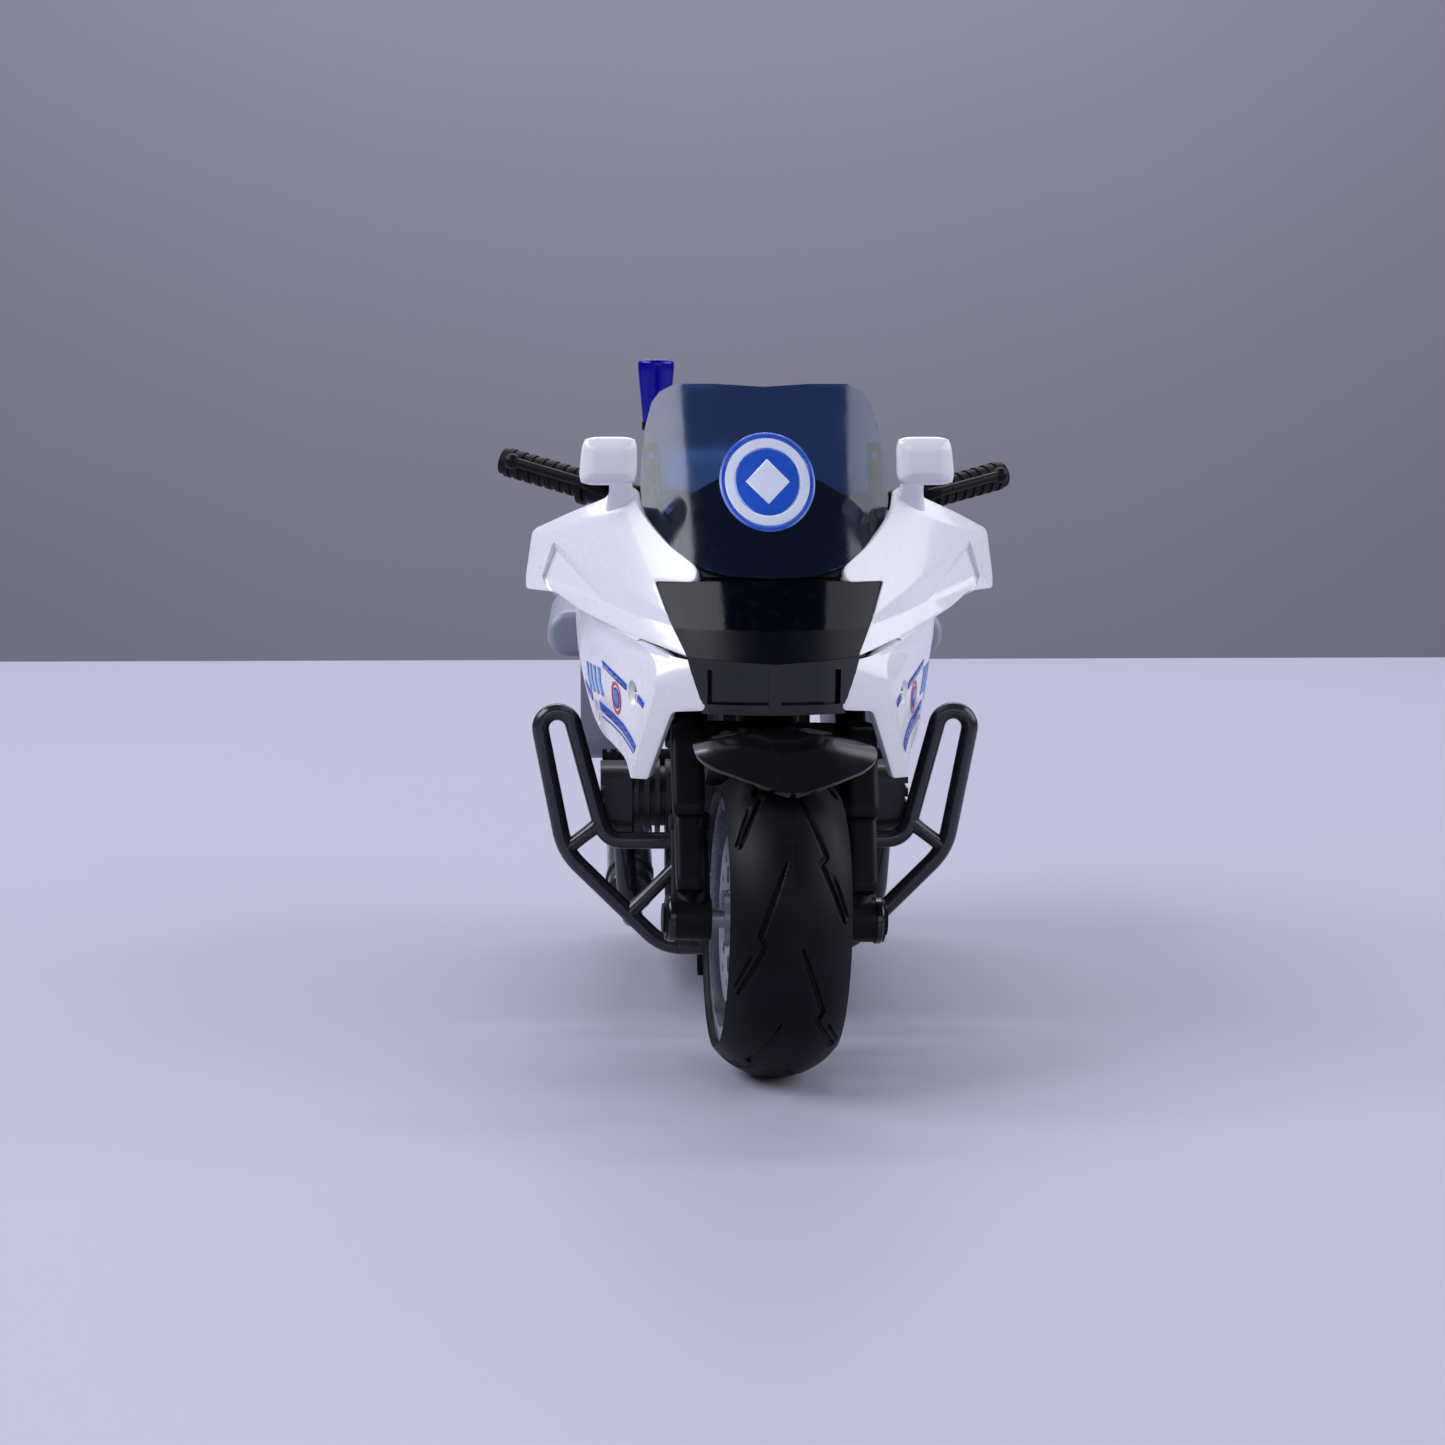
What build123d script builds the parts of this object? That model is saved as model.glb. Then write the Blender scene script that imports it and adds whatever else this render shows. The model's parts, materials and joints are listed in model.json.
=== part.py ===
from build123d import *
import math
import os

os.makedirs("parts", exist_ok=True)

# Toy police touring motorcycle, millimetres. It faces -Y, +X is its own left side and +Z is up.
# The origin is on the floor under the middle of the model.

# ---- overall sizes
overall_length = 177.2
wheelbase = 122.0
wheel_diameter = 50.5
front_tyre_width = 19.0
rear_tyre_width = 21.0
engine_half_width = 12.0
spine_half_width = 7.0
fairing_wall = 2.2
screen_wall = 1.4

# ---- fits and gaps
running_clearance = 0.06
wheel_gap = 0.8
gear_end_gap = 0.35
gear_backlash = 0.12
centre_distance_slack = 0.06

# ---- wheels
tyre_wall = 6.65
flange_lip = 1.1
bead_radius = wheel_diameter / 2 - tyre_wall
flange_radius = bead_radius + flange_lip
flange_inset = 1.1
crown_radius_share = 0.64
hub_radius = 4.6
wheel_axle_radius = 1.5
spoke_count = 5
spoke_width = 2.6
disc_radius = 13.5
disc_thickness = 0.7

# ---- steering
rake_deg = 25.0
fork_offset = 3.0
rest_steer_deg = 4.0
steering_lock_deg = 16.0
leg_swing_gap = 0.5
fork_half_track = 13.4
slider_radius = 3.1
stanchion_radius = 2.5
slider_length = 17.0
fork_length = 60.0
axle_boss_radius = 3.5
axle_boss_reach = 17.6
stem_radius = 2.8
head_tube_radius = 5.2
head_tube_low = 33.0
head_tube_high = 49.0
clamp_thickness = 3.4
bar_radius = 1.7
grip_radius = 2.5
grip_length = 15.5
bar_end_x = 42.6
bar_end_lift = 96.0
bar_inner_x = 27.0
bar_inner_height = 92.0
bar_mid_height = 90.0
fender_inner_radius = 27.2
fender_wall = 1.5
fender_half_width = 14.2

# ---- drive train
gear_module = 0.55
axle_gear_teeth = 14
idler_teeth = 40
barrel_teeth = 40
gear_width = 2.4
gear_plane_x = 13.2
case_plate = 1.2
idler_shaft_radius = 1.2
arbor_radius = 1.6
mainspring_outer_radius = 7.2
mainspring_wire = 0.45
mainspring_turns = 5
motor_case_radius = 8.8
motor_case_half_width = 9.5

# ---- cowl, as reaches behind the front axle at named widths
cowl_seam_height = 67.0
cowl_top_height = 94.0
grille_bottom_height = 58.4
cowl_widths = [0.0, 12.0, 18.0, 27.0, 41.0]
cowl_seam_reach = [-5.2, -1.2, 4.8, 17.8, 38.3]
cowl_top_reach = [15.3, 18.3, 21.3, 25.3, 42.8]
cowl_chin_reach = [-1.0, 2.6, 8.6, 21.0, 40.0]
chin_height = 47.0

# ---- windscreen
screen_bottom_height = 79.6
screen_top_height = 110.6
screen_half_width = 20.6
screen_bottom_reach = 4.6
screen_slope = 0.88
screen_curve = 0.026

# ---- stand
stand_pivot_reach = 86.9
stand_pivot_height = 10.0
stand_pin_radius = 1.0
stand_foot_outer = 9.2
stand_leg_width = 2.6
stand_foot_length = 5.0
stand_foot_forward = 1.6

# ---- crash bars
crash_tube_radius = 1.5
crash_bar_reach = 52.4
crash_top_height = 53.2
crash_outer_x = 38.5
crash_inner_x = 31.7
crash_bend_radius = 2.6

front_axle_y = -overall_length / 2 + wheel_diameter / 2
rear_axle_y = front_axle_y + wheelbase
axle_z = wheel_diameter / 2
tail_y = overall_length / 2


def block(x0, x1, y0, y1, z0, z1):
    centre = Pos((x0 + x1) / 2, (y0 + y1) / 2, (z0 + z1) / 2)
    return centre * Box(x1 - x0, y1 - y0, z1 - z0)


def bar_x(y, z, radius, x0, x1):
    return Pos((x0 + x1) / 2, y, z) * Rot(0, 90, 0) * Cylinder(radius, x1 - x0)


def rod(start, end, radius):
    a = Vector(start)
    b = Vector(end)
    low = (Align.CENTER, Align.CENTER, Align.MIN)
    return Plane(origin=a, z_dir=b - a).location * Cylinder(radius, (b - a).length, align=low)


def side_prism(points, x0, x1):
    face = make_face(Polyline(*[(x0, y, z) for y, z in points], close=True))
    return extrude(face, amount=x1 - x0, dir=(1, 0, 0))


def front_prism(points, y0, y1):
    face = make_face(Polyline(*[(x, y0, z) for x, z in points], close=True))
    return extrude(face, amount=y1 - y0, dir=(0, 1, 0))


def plan_prism(points, z0, z1):
    face = make_face(Polyline(*[(x, y, z0) for x, y in points], close=True))
    return extrude(face, amount=z1 - z0, dir=(0, 0, 1))


def mirrored(shape):
    return mirror(shape, about=Plane.YZ)


def around(shape, *others):
    for other in others:
        shape = shape - other
    return shape


def bent_tube(points, radius, bend):
    path = FilletPolyline(*points, radius=bend)
    start = Plane(origin=path @ 0, z_dir=path % 0)
    return sweep(start * Circle(radius), path=path)


def solids_of(shape):
    return [s for s in shape.solids() if s.volume > 0.05]


def save(name, shape):
    kept = solids_of(shape)
    whole = kept[0] if len(kept) == 1 else Compound(children=kept)
    whole.label = name
    export_step(whole, f"parts/{name}.step")


# ---- wheels ------------------------------------------------------------------------------------
def tyre(width):
    half = width / 2
    crown = width * crown_radius_share
    shoulder = wheel_diameter / 2 - crown + math.sqrt(crown**2 - half**2)
    bead = half - flange_inset * 1.9
    edge = [
        Line((-bead, bead_radius), (bead, bead_radius)),
        Line((bead, bead_radius), (bead, flange_radius + 0.1)),
        Line((bead, flange_radius + 0.1), (half - 0.7, flange_radius + 0.1)),
        Line((half - 0.7, flange_radius + 0.1), (half, shoulder)),
        ThreePointArc((half, shoulder), (0, wheel_diameter / 2), (-half, shoulder)),
        Line((-half, shoulder), (-half + 0.7, flange_radius + 0.1)),
        Line((-half + 0.7, flange_radius + 0.1), (-bead, flange_radius + 0.1)),
        Line((-bead, flange_radius + 0.1), (-bead, bead_radius)),
    ]
    return revolve(make_face(edge), Axis.X, 360)


def rim(width):
    half = width / 2
    bead = half - flange_inset * 1.9
    barrel = bar_x(0, 0, bead_radius, -bead, bead) - bar_x(0, 0, bead_radius - 1.3, -half, half)
    flanges = []
    for side in (-1, 1):
        x0 = bead if side > 0 else -bead - flange_inset
        ring = bar_x(0, 0, flange_radius, x0, x0 + flange_inset)
        flanges.append(ring - bar_x(0, 0, bead_radius - 1.3, -width, width))
    hub = bar_x(0, 0, hub_radius, -half + 1.0, half - 1.0)
    shape = barrel + flanges[0] + flanges[1] + hub
    for index in range(spoke_count):
        turn = Rot(360 * index / spoke_count, 0, 0)
        for lean in (-9, 9):
            spoke = block(-2.0, 2.0, -spoke_width / 2, spoke_width / 2, 2.0, bead_radius - 0.8)
            shape = shape + turn * Rot(lean, 0, 0) * spoke
    return shape - bar_x(0, 0, wheel_axle_radius, -width, width)


def brake_disc(width):
    x0 = width / 2 - 2.0 - disc_thickness
    shape = bar_x(0, 0, disc_radius, x0, x0 + disc_thickness)
    shape = shape - bar_x(0, 0, hub_radius, 0, width)
    for index in range(12):
        hole = bar_x(disc_radius - 3.2, 0, 0.7, 0, width)
        shape = shape - Rot(30 * index, 0, 0) * hole
    for index in range(6):
        window = bar_x(hub_radius + 2.6, 0, 1.5, 0, width)
        shape = shape - Rot(60 * index + 15, 0, 0) * window
    return shape


front_place = Pos(0, front_axle_y, axle_z)
rear_place = Pos(0, rear_axle_y, axle_z)
front_tyre = tyre(front_tyre_width)
front_rim = rim(front_tyre_width)
front_disc = brake_disc(front_tyre_width)
front_discs = front_disc + mirrored(front_disc)
front_axle_reach = axle_boss_reach - 0.9
front_axle = bar_x(0, 0, wheel_axle_radius, -front_axle_reach, front_axle_reach)
rear_tyre = tyre(rear_tyre_width)
rear_rim = rim(rear_tyre_width)
rear_disc = mirrored(brake_disc(rear_tyre_width))

# ---- steering frame ----------------------------------------------------------------------------
rake = math.radians(rake_deg)
axis_foot_y = front_axle_y + fork_offset * math.cos(rake)
axis_foot_z = axle_z - fork_offset * math.sin(rake)
steer_frame = Location((0, axis_foot_y, axis_foot_z), (-rake_deg, 0, 0))
steer_turn = steer_frame * Location((0, 0, 0), (0, 0, rest_steer_deg)) * steer_frame.inverse()


def axis_y(z):
    return axis_foot_y + (z - axis_foot_z) * math.tan(rake)


def in_fork(shape):
    return steer_frame * shape


def fork_leg():
    low = (Align.CENTER, Align.CENTER, Align.MIN)
    x = fork_half_track
    slider = Pos(x, -fork_offset, 0) * Cylinder(slider_radius, slider_length, align=low)
    collar = Pos(x, -fork_offset, slider_length - 2.2)
    collar = collar * Cylinder(slider_radius + 0.35, 2.2, align=low)
    tube = Pos(x, -fork_offset, 0) * Cylinder(stanchion_radius, fork_length, align=low)
    stay = block(x - 2.6, x + 2.6, -fork_offset - 1.2, -fork_offset + 4.2, 3.0, slider_length - 3.0)
    leg = in_fork(slider + collar + tube + stay)
    boss = bar_x(front_axle_y, axle_z, axle_boss_radius, x - 3.0, axle_boss_reach)
    foot = bar_x(front_axle_y, axle_z, wheel_axle_radius + 0.9, x - 3.0, axle_boss_reach + 0.5)
    bore = bar_x(front_axle_y, axle_z, wheel_axle_radius + running_clearance, 0, axle_boss_reach - 0.7)
    return leg + boss + foot - bore


def caliper():
    x = fork_half_track - 3.05
    pad = block(x - 0.7, x + 0.6, -fork_offset + 2.2, -fork_offset + 6.6, 9.2, 15.0)
    return in_fork(pad)


left_leg = fork_leg()
right_leg = mirrored(left_leg)


def clamp_plate(z0, thickness):
    plate = block(-fork_half_track, fork_half_track, -fork_offset - 2.4, 3.6, z0, z0 + thickness)
    for side in (-1, 1):
        end = Pos(side * fork_half_track, -fork_offset, z0 + thickness / 2)
        plate = plate + end * Cylinder(stanchion_radius + 1.4, thickness)
        plate = plate - end * Cylinder(stanchion_radius, thickness * 2)
    return plate


lower_clamp_z = head_tube_low - gear_end_gap - clamp_thickness
upper_clamp_z = head_tube_high + gear_end_gap
stem_top = upper_clamp_z + clamp_thickness + 3.0
low = (Align.CENTER, Align.CENTER, Align.MIN)
stem = Pos(0, 0, lower_clamp_z) * Cylinder(stem_radius, stem_top - lower_clamp_z, align=low)
cap = Pos(0, 0, stem_top - 2.4) * Cylinder(stem_radius + 1.2, 2.4, align=low)
clamps = clamp_plate(lower_clamp_z, clamp_thickness) + clamp_plate(upper_clamp_z, clamp_thickness)
triple_clamp = in_fork(clamps + stem + cap)
bar_mid_y = axis_y(bar_mid_height) + 5.4
bar_inner_y = bar_mid_y - 1.6
bar_end_y = bar_mid_y + 6.4
for side in (-1, 1):
    foot = (side * 5.0, axis_y(71.0) + 0.6, 70.6)
    top = (side * 5.0, bar_mid_y, bar_mid_height)
    triple_clamp = triple_clamp + rod(foot, top, 1.6)
    triple_clamp = triple_clamp + bar_x(bar_mid_y, bar_mid_height, 2.7, side * 5 - 1.7, side * 5 + 1.7)

bar_points = [
    (-bar_end_x, bar_end_y, bar_end_lift),
    (-bar_inner_x, bar_inner_y, bar_inner_height),
    (-9.5, bar_mid_y, bar_mid_height),
    (9.5, bar_mid_y, bar_mid_height),
    (bar_inner_x, bar_inner_y, bar_inner_height),
    (bar_end_x, bar_end_y, bar_end_lift),
]
handlebar = bent_tube(bar_points, bar_radius, 3.0)
triple_clamp = triple_clamp - handlebar
triple_clamp = around(triple_clamp, left_leg, right_leg)


def along_bar(distance):
    a = Vector(*bar_points[5])
    b = Vector(*bar_points[4])
    return a + (b - a).normalized() * distance


def grip():
    start = along_bar(-0.8)
    end = along_bar(grip_length)
    shape = rod(start, end, grip_radius - 0.25)
    steps = 8
    for index in range(steps):
        d = 0.2 + index * (grip_length - 1.6) / (steps - 1)
        a = along_bar(d)
        b = along_bar(d + 0.9)
        shape = shape + rod(a, b, grip_radius)
    flange = rod(along_bar(grip_length - 1.0), end, grip_radius + 0.9)
    return shape + flange - handlebar


def lever():
    forward = Vector(0, -4.6, 0.4)
    tip = along_bar(0.6) + forward
    knee = along_bar(grip_length - 1.5) + forward
    root = along_bar(grip_length + 2.4) + Vector(0, -1.9, 0)
    shape = rod(tip, knee, 0.8)
    shape = shape + Pos(tip) * Sphere(1.35)
    shape = shape + Pos(knee) * Sphere(0.8)
    shape = shape + rod(knee, root, 1.0)
    a = along_bar(grip_length + 0.1)
    b = along_bar(grip_length + 4.0)
    clamp = rod(a, b, bar_radius + 1.1)
    reservoir = Pos(b + Vector(0.4, -1.4, 2.2)) * Box(4.2, 3.4, 2.4)
    return shape + clamp + reservoir - handlebar


grip_left = grip()
lever_left = around(lever(), grip_left)
grip_right = mirrored(grip_left)
lever_right = mirrored(lever_left)


def fender_band(half_width, drop, start_deg, sweep_deg):
    outer = fender_inner_radius + fender_wall + 0.6
    points = [
        (0, outer),
        (half_width * 0.55, outer - drop * 0.3),
        (half_width, outer - drop),
        (half_width, outer - drop - fender_wall),
        (half_width * 0.55, outer - drop * 0.3 - fender_wall),
        (0, outer - fender_wall),
        (-half_width * 0.55, outer - drop * 0.3 - fender_wall),
        (-half_width, outer - drop - fender_wall),
        (-half_width, outer - drop),
        (-half_width * 0.55, outer - drop * 0.3),
    ]
    face = make_face(Polyline(*[(x, 0, z) for x, z in points], close=True))
    band = revolve(face, Axis.X, sweep_deg)
    return Rot(start_deg, 0, 0) * band


beak = fender_band(fender_half_width, 2.6, 8.0, 30.0)
beak_trim = [(-15, 60), (15, 60), (14.2, 27), (10.0, 22.6), (0, 20.6), (-10.0, 22.6), (-14.2, 27)]
beak = front_prism(beak_trim, -60, 60) & beak
guard = fender_band(fork_half_track - slider_radius - 0.45, 1.4, -52.0, 62.0)
front_fender = front_place * (beak + guard)
fender_lug = block(-fork_half_track, fork_half_track, -fork_offset - 1.5, -fork_offset + 1.5, 27.4, 29.6)
front_fender = front_fender + in_fork(fender_lug)
front_fender = around(front_fender, left_leg, right_leg, triple_clamp)
head_space = in_fork(Cylinder(stem_radius + 1.0, fork_length * 2))

# ---- gears -------------------------------------------------------------------------------------
def gear(teeth, tooth_deg):
    """Spur gear about X. A tooth is centred on tooth_deg, measured from +Y towards +Z."""
    pressure = math.radians(20)
    pitch_r = gear_module * teeth / 2
    base_r = pitch_r * math.cos(pressure)
    tip_r = pitch_r + gear_module * 0.9
    root_r = pitch_r - gear_module * 1.2

    def involute(angle):
        return math.tan(angle) - angle

    half_pitch = (math.pi * gear_module / 2 - gear_backlash) / 2 / pitch_r + involute(pressure)
    flank = []
    for step in range(6):
        r = max(root_r, base_r) + (tip_r - max(root_r, base_r)) * step / 5
        at = math.acos(min(1.0, base_r / r))
        flank.append((r, half_pitch - involute(at)))
    points = []
    for index in range(teeth):
        centre = math.radians(tooth_deg) + 2 * math.pi * index / teeth
        outline = [(root_r, -flank[0][1] - 0.01)]
        outline += [(r, -a) for r, a in flank]
        outline += [(r, a) for r, a in reversed(flank)]
        outline += [(root_r, flank[0][1] + 0.01)]
        points += [(r * math.cos(centre + a), r * math.sin(centre + a)) for r, a in outline]
    return side_prism(points, 0, gear_width)


gear_x = gear_plane_x
axle_to_idler = gear_module * (axle_gear_teeth + idler_teeth) / 2 + centre_distance_slack
idler_to_barrel = gear_module * (idler_teeth + barrel_teeth) / 2 + centre_distance_slack
idler_y = rear_axle_y - axle_to_idler
barrel_y = idler_y - idler_to_barrel
axle_gear = Pos(gear_x, rear_axle_y, axle_z) * gear(axle_gear_teeth, 180)
axle_gear = axle_gear - bar_x(rear_axle_y, axle_z, wheel_axle_radius, 0, 30)
idler_gear = Pos(gear_x, idler_y, axle_z) * gear(idler_teeth, 180.0 / idler_teeth)
barrel_gear = Pos(gear_x, barrel_y, axle_z) * gear(barrel_teeth, 0)
for index in range(5):
    for y, name in ((idler_y, "idler"), (barrel_y, "barrel")):
        angle = math.radians(72 * index)
        hole = bar_x(y + 6.6 * math.cos(angle), axle_z + 6.6 * math.sin(angle), 1.9, 0, 30)
        if name == "idler":
            idler_gear = idler_gear - hole
        else:
            barrel_gear = barrel_gear - hole
cover_x = gear_x + gear_width + gear_end_gap
plate_x = gear_x - gear_end_gap - case_plate
cover_wall = 1.2
idler_gear = idler_gear + bar_x(idler_y, axle_z, idler_shaft_radius, plate_x, cover_x + 0.8)
idler_gear = idler_gear + bar_x(idler_y, axle_z, 2.4, gear_x - 0.2, gear_x + gear_width + 0.2)
arbor = bar_x(barrel_y, axle_z, arbor_radius, -motor_case_half_width, cover_x + 0.8)
barrel_gear = barrel_gear + arbor
barrel_gear = barrel_gear + bar_x(barrel_y, axle_z, 2.8, gear_x - 0.2, gear_x + gear_width + 0.2)
rear_axle_left = cover_x + 0.8
rear_axle_right = 14.6
rear_axle = bar_x(rear_axle_y, axle_z, wheel_axle_radius, -rear_axle_right, rear_axle_left)

# ---- drive case, which is also the left swinging arm -------------------------------------------
tip_radius = gear_module * (idler_teeth / 2 + 0.9)
case_inner = tip_radius + 0.7
case_outer = case_inner + cover_wall


def case_outline(radius, nose_radius, x0, x1):
    big = bar_x(barrel_y, axle_z, radius, x0, x1) + bar_x(idler_y, axle_z, radius, x0, x1)
    web = block(x0, x1, barrel_y, idler_y, axle_z - radius, axle_z + radius)
    run = rear_axle_y - idler_y
    lean = math.asin((radius - nose_radius) / run)
    corner = [
        (idler_y + radius * math.sin(lean), axle_z + radius * math.cos(lean)),
        (rear_axle_y + nose_radius * math.sin(lean), axle_z + nose_radius * math.cos(lean)),
        (rear_axle_y + nose_radius * math.sin(lean), axle_z - nose_radius * math.cos(lean)),
        (idler_y + radius * math.sin(lean), axle_z - radius * math.cos(lean)),
    ]
    nose = side_prism(corner, x0, x1) + bar_x(rear_axle_y, axle_z, nose_radius, x0, x1)
    return big + web + nose


gear_plate = case_outline(case_outer, 6.4 + cover_wall, plate_x, plate_x + case_plate)
gear_cover = case_outline(case_outer, 6.4 + cover_wall, plate_x + case_plate, cover_x + cover_wall)
gear_cover = gear_cover - case_outline(case_inner, 6.4, plate_x, cover_x)
case_space = case_outline(case_outer, 6.4 + cover_wall, plate_x, cover_x + cover_wall)
for y in (rear_axle_y, idler_y, barrel_y):
    gear_cover = gear_cover + bar_x(y, axle_z, 3.4, cover_x + cover_wall, cover_x + cover_wall + 0.5)
for y, radius in ((rear_axle_y, wheel_axle_radius), (idler_y, idler_shaft_radius), (barrel_y, arbor_radius)):
    gear_plate = gear_plate - bar_x(y, axle_z, radius + running_clearance, -1, cover_x)
    gear_cover = gear_cover - bar_x(y, axle_z, radius + running_clearance, 0, cover_x + 0.9)

swingarm_right = side_prism(
    [
        (rear_axle_y + 6.0, axle_z + 4.0),
        (rear_axle_y + 6.0, axle_z - 4.0),
        (barrel_y + 4.0, axle_z - 8.0),
        (barrel_y - 8.0, axle_z - 8.0),
        (barrel_y - 8.0, axle_z + 8.0),
        (barrel_y + 6.0, axle_z + 8.0),
    ],
    -14.4,
    -11.6,
)
swingarm_right = swingarm_right - bar_x(
    rear_axle_y, axle_z, wheel_axle_radius + running_clearance, -20, 0
)

# ---- motor case and mainspring -----------------------------------------------------------------
case_shell = bar_x(barrel_y, axle_z, motor_case_radius, -motor_case_half_width - 1.4, 0)
case_shell = case_shell - bar_x(
    barrel_y, axle_z, motor_case_radius - 1.0, -motor_case_half_width, 1
)
motor_case_right = case_shell - bar_x(barrel_y, axle_z, arbor_radius + running_clearance, -9.9, 1)
motor_case_left = bar_x(barrel_y, axle_z, motor_case_radius, 0, plate_x)
motor_case_left = motor_case_left - bar_x(
    barrel_y, axle_z, motor_case_radius - 1.0, -1, motor_case_half_width
)
motor_case_left = motor_case_left - bar_x(
    barrel_y, axle_z, arbor_radius + running_clearance, -1, plate_x + 1
)


def mainspring_strip():
    inner = arbor_radius + 0.5
    pitch = (mainspring_outer_radius - inner) / mainspring_turns
    steps = mainspring_turns * 24
    line = []
    for step in range(steps + 1):
        angle = 2 * math.pi * step / 24
        r = inner + pitch * step / 24
        line.append((r, angle))
    hook = 360.0
    outer = [((r + mainspring_wire) * math.cos(a), (r + mainspring_wire) * math.sin(a)) for r, a in line]
    back = [(r * math.cos(a), r * math.sin(a)) for r, a in reversed(line)]
    return side_prism(outer + back, -6.5, 6.5), hook


mainspring, spring_turn = mainspring_strip()
spring_tail = block(-6.5, 6.5, mainspring_outer_radius, motor_case_radius - 1.0, -0.6, 0.0)
mainspring = Pos(0, barrel_y, axle_z) * (mainspring + spring_tail)
mainspring = around(mainspring, motor_case_left, motor_case_right)

# ---- engine ------------------------------------------------------------------------------------
engine_front = front_axle_y + 37.0
engine_back = barrel_y - motor_case_radius + 1.0
engine_low = 14.0
engine_top = 44.0
block_shape = block(
    -engine_half_width, engine_half_width, engine_front, engine_back, engine_low, engine_top
)
block_shape = fillet(block_shape.edges().filter_by(Axis.Y), 3.0)
sump = block(-9.0, 9.0, engine_front + 7.0, engine_back - 2.0, 6.4, engine_low + 3)
sump = fillet(sump.edges().filter_by(Axis.Y), 2.0)
engine_block = block_shape + sump
for index in range(5):
    y = engine_front + 9.0 + index * 4.2
    engine_block = engine_block - block(-20, 20, y, y + 1.2, 5.0, 8.2)
motor_room = bar_x(barrel_y, axle_z, motor_case_radius, -20, 20)
engine_block = around(engine_block, motor_room, gear_plate, gear_cover, swingarm_right)
cylinder_y = front_axle_y + crash_bar_reach + 9.0
cylinder_z = 37.0


def cylinder_left_shape():
    shape = bar_x(cylinder_y, cylinder_z, 5.4, engine_half_width, 22.0)
    for index in range(5):
        x = engine_half_width + 1.0 + index * 1.9
        shape = shape + bar_x(cylinder_y, cylinder_z, 6.6, x, x + 0.9)
    cover = Pos(24.6, cylinder_y, cylinder_z) * Box(5.6, 13.0, 12.0)
    cover = fillet(cover.edges().filter_by(Axis.X), 3.0)
    for z in (-2.4, 0, 2.4):
        cover = cover - Pos(27.6, cylinder_y, cylinder_z + z) * Box(1.6, 14.0, 0.9)
    return shape + cover


cylinder_right = mirrored(cylinder_left_shape())
cylinder_left = around(cylinder_left_shape(), case_space)
engine_cover_left = bar_x(cylinder_y + 2.0, 23.5, 8.0, engine_half_width, engine_half_width + 2.6)
engine_cover_left = engine_cover_left + bar_x(
    cylinder_y + 2.0, 23.5, 5.2, engine_half_width, engine_half_width + 3.8
)
for index in range(6):
    angle = math.radians(60 * index)
    bolt = bar_x(
        cylinder_y + 2.0 + 6.7 * math.cos(angle), 23.5 + 6.7 * math.sin(angle), 0.7,
        engine_half_width + 2.0, engine_half_width + 3.2,
    )
    engine_cover_left = engine_cover_left + bolt
engine_cover_right = mirrored(engine_cover_left)
engine_cover_left = around(engine_cover_left, case_space, cylinder_left)
engine_cover_right = around(engine_cover_right, swingarm_right, cylinder_right)

# ---- frame -------------------------------------------------------------------------------------
head_tube = Pos(0, 0, head_tube_low) * Cylinder(
    head_tube_radius, head_tube_high - head_tube_low, align=low
)
head_tube = in_fork(head_tube)
spine_low = engine_top
spine_top = 66.0
seat_line = 64.0
neck_y = axis_y(62.0)
spine = side_prism(
    [
        (neck_y + 3.0, 55.5),
        (neck_y + 6.0, 69.0),
        (-18.0, spine_top),
        (14.0, spine_top),
        (20.0, seat_line),
        (tail_y - 14.0, seat_line + 2.0),
        (tail_y - 14.0, seat_line - 4.0),
        (rear_axle_y - 16.0, 54.0),
        (engine_back + 4.0, spine_low),
        (engine_front + 4.0, spine_low),
    ],
    -spine_half_width,
    spine_half_width,
)
sweep_radius = fork_half_track + stanchion_radius + 2.4
lower_sweep = Pos(0, 0, head_tube_low - 0.05 - 30.0) * Cylinder(sweep_radius, 30.0, align=low)
upper_sweep = Pos(0, 0, head_tube_high + 0.05) * Cylinder(sweep_radius, 30.0, align=low)
clamp_room = in_fork(lower_sweep + upper_sweep)
frame_chassis = head_tube + around(spine, head_space)
motor_hanger = block(
    -spine_half_width, spine_half_width, barrel_y - 6.0, barrel_y + 6.0, axle_z, spine_low + 8.0
)
post_low = stand_pivot_height + 3.2
side_post = side_prism(
    [
        (barrel_y - 9.0, post_low),
        (barrel_y + 6.0, post_low),
        (barrel_y + 10.4, 20.0),
        (barrel_y + 10.4, 34.0),
        (barrel_y + 12.0, 58.0),
        (barrel_y - 4.0, 58.0),
    ],
    -11.6,
    -9.0,
)
side_posts = side_post + mirrored(side_post)
frame_chassis = frame_chassis + motor_hanger + side_posts
bridge = block(-11.6, 11.6, barrel_y - 3.0, barrel_y + 9.0, 54.5, 60.0)
frame_chassis = frame_chassis + bridge
nose_stay = block(-3.6, 3.6, front_axle_y + 3.0, neck_y - 2.0, 62.5, 66.0)
nose_stay = nose_stay - in_fork(Cylinder(stem_radius + 2.0, fork_length * 2.2))
frame_chassis = frame_chassis + nose_stay

# stand lugs under the motor
stand_y = front_axle_y + stand_pivot_reach
stand_lug_outer = 4.6
lug = side_prism(
    [
        (stand_y - 3.0, stand_pivot_height - 2.4),
        (stand_y + 3.0, stand_pivot_height - 2.4),
        (stand_y + 3.0, stand_pivot_height + 3.0),
        (barrel_y + 3.0, axle_z - 4.0),
        (barrel_y - 7.0, axle_z - 4.0),
        (barrel_y - 7.0, stand_pivot_height + 3.0),
    ],
    -stand_lug_outer,
    stand_lug_outer,
)
lug_beam = block(-11.6, 11.6, barrel_y - 7.0, barrel_y + 5.0, post_low, axle_z - motor_case_radius + 1)
frame_chassis = frame_chassis + lug + lug_beam
stand_pin_reach = stand_foot_outer - 0.6
pin_hole = bar_x(stand_y, stand_pivot_height, stand_pin_radius, -30, 30)
frame_chassis = around(frame_chassis, pin_hole)
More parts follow.
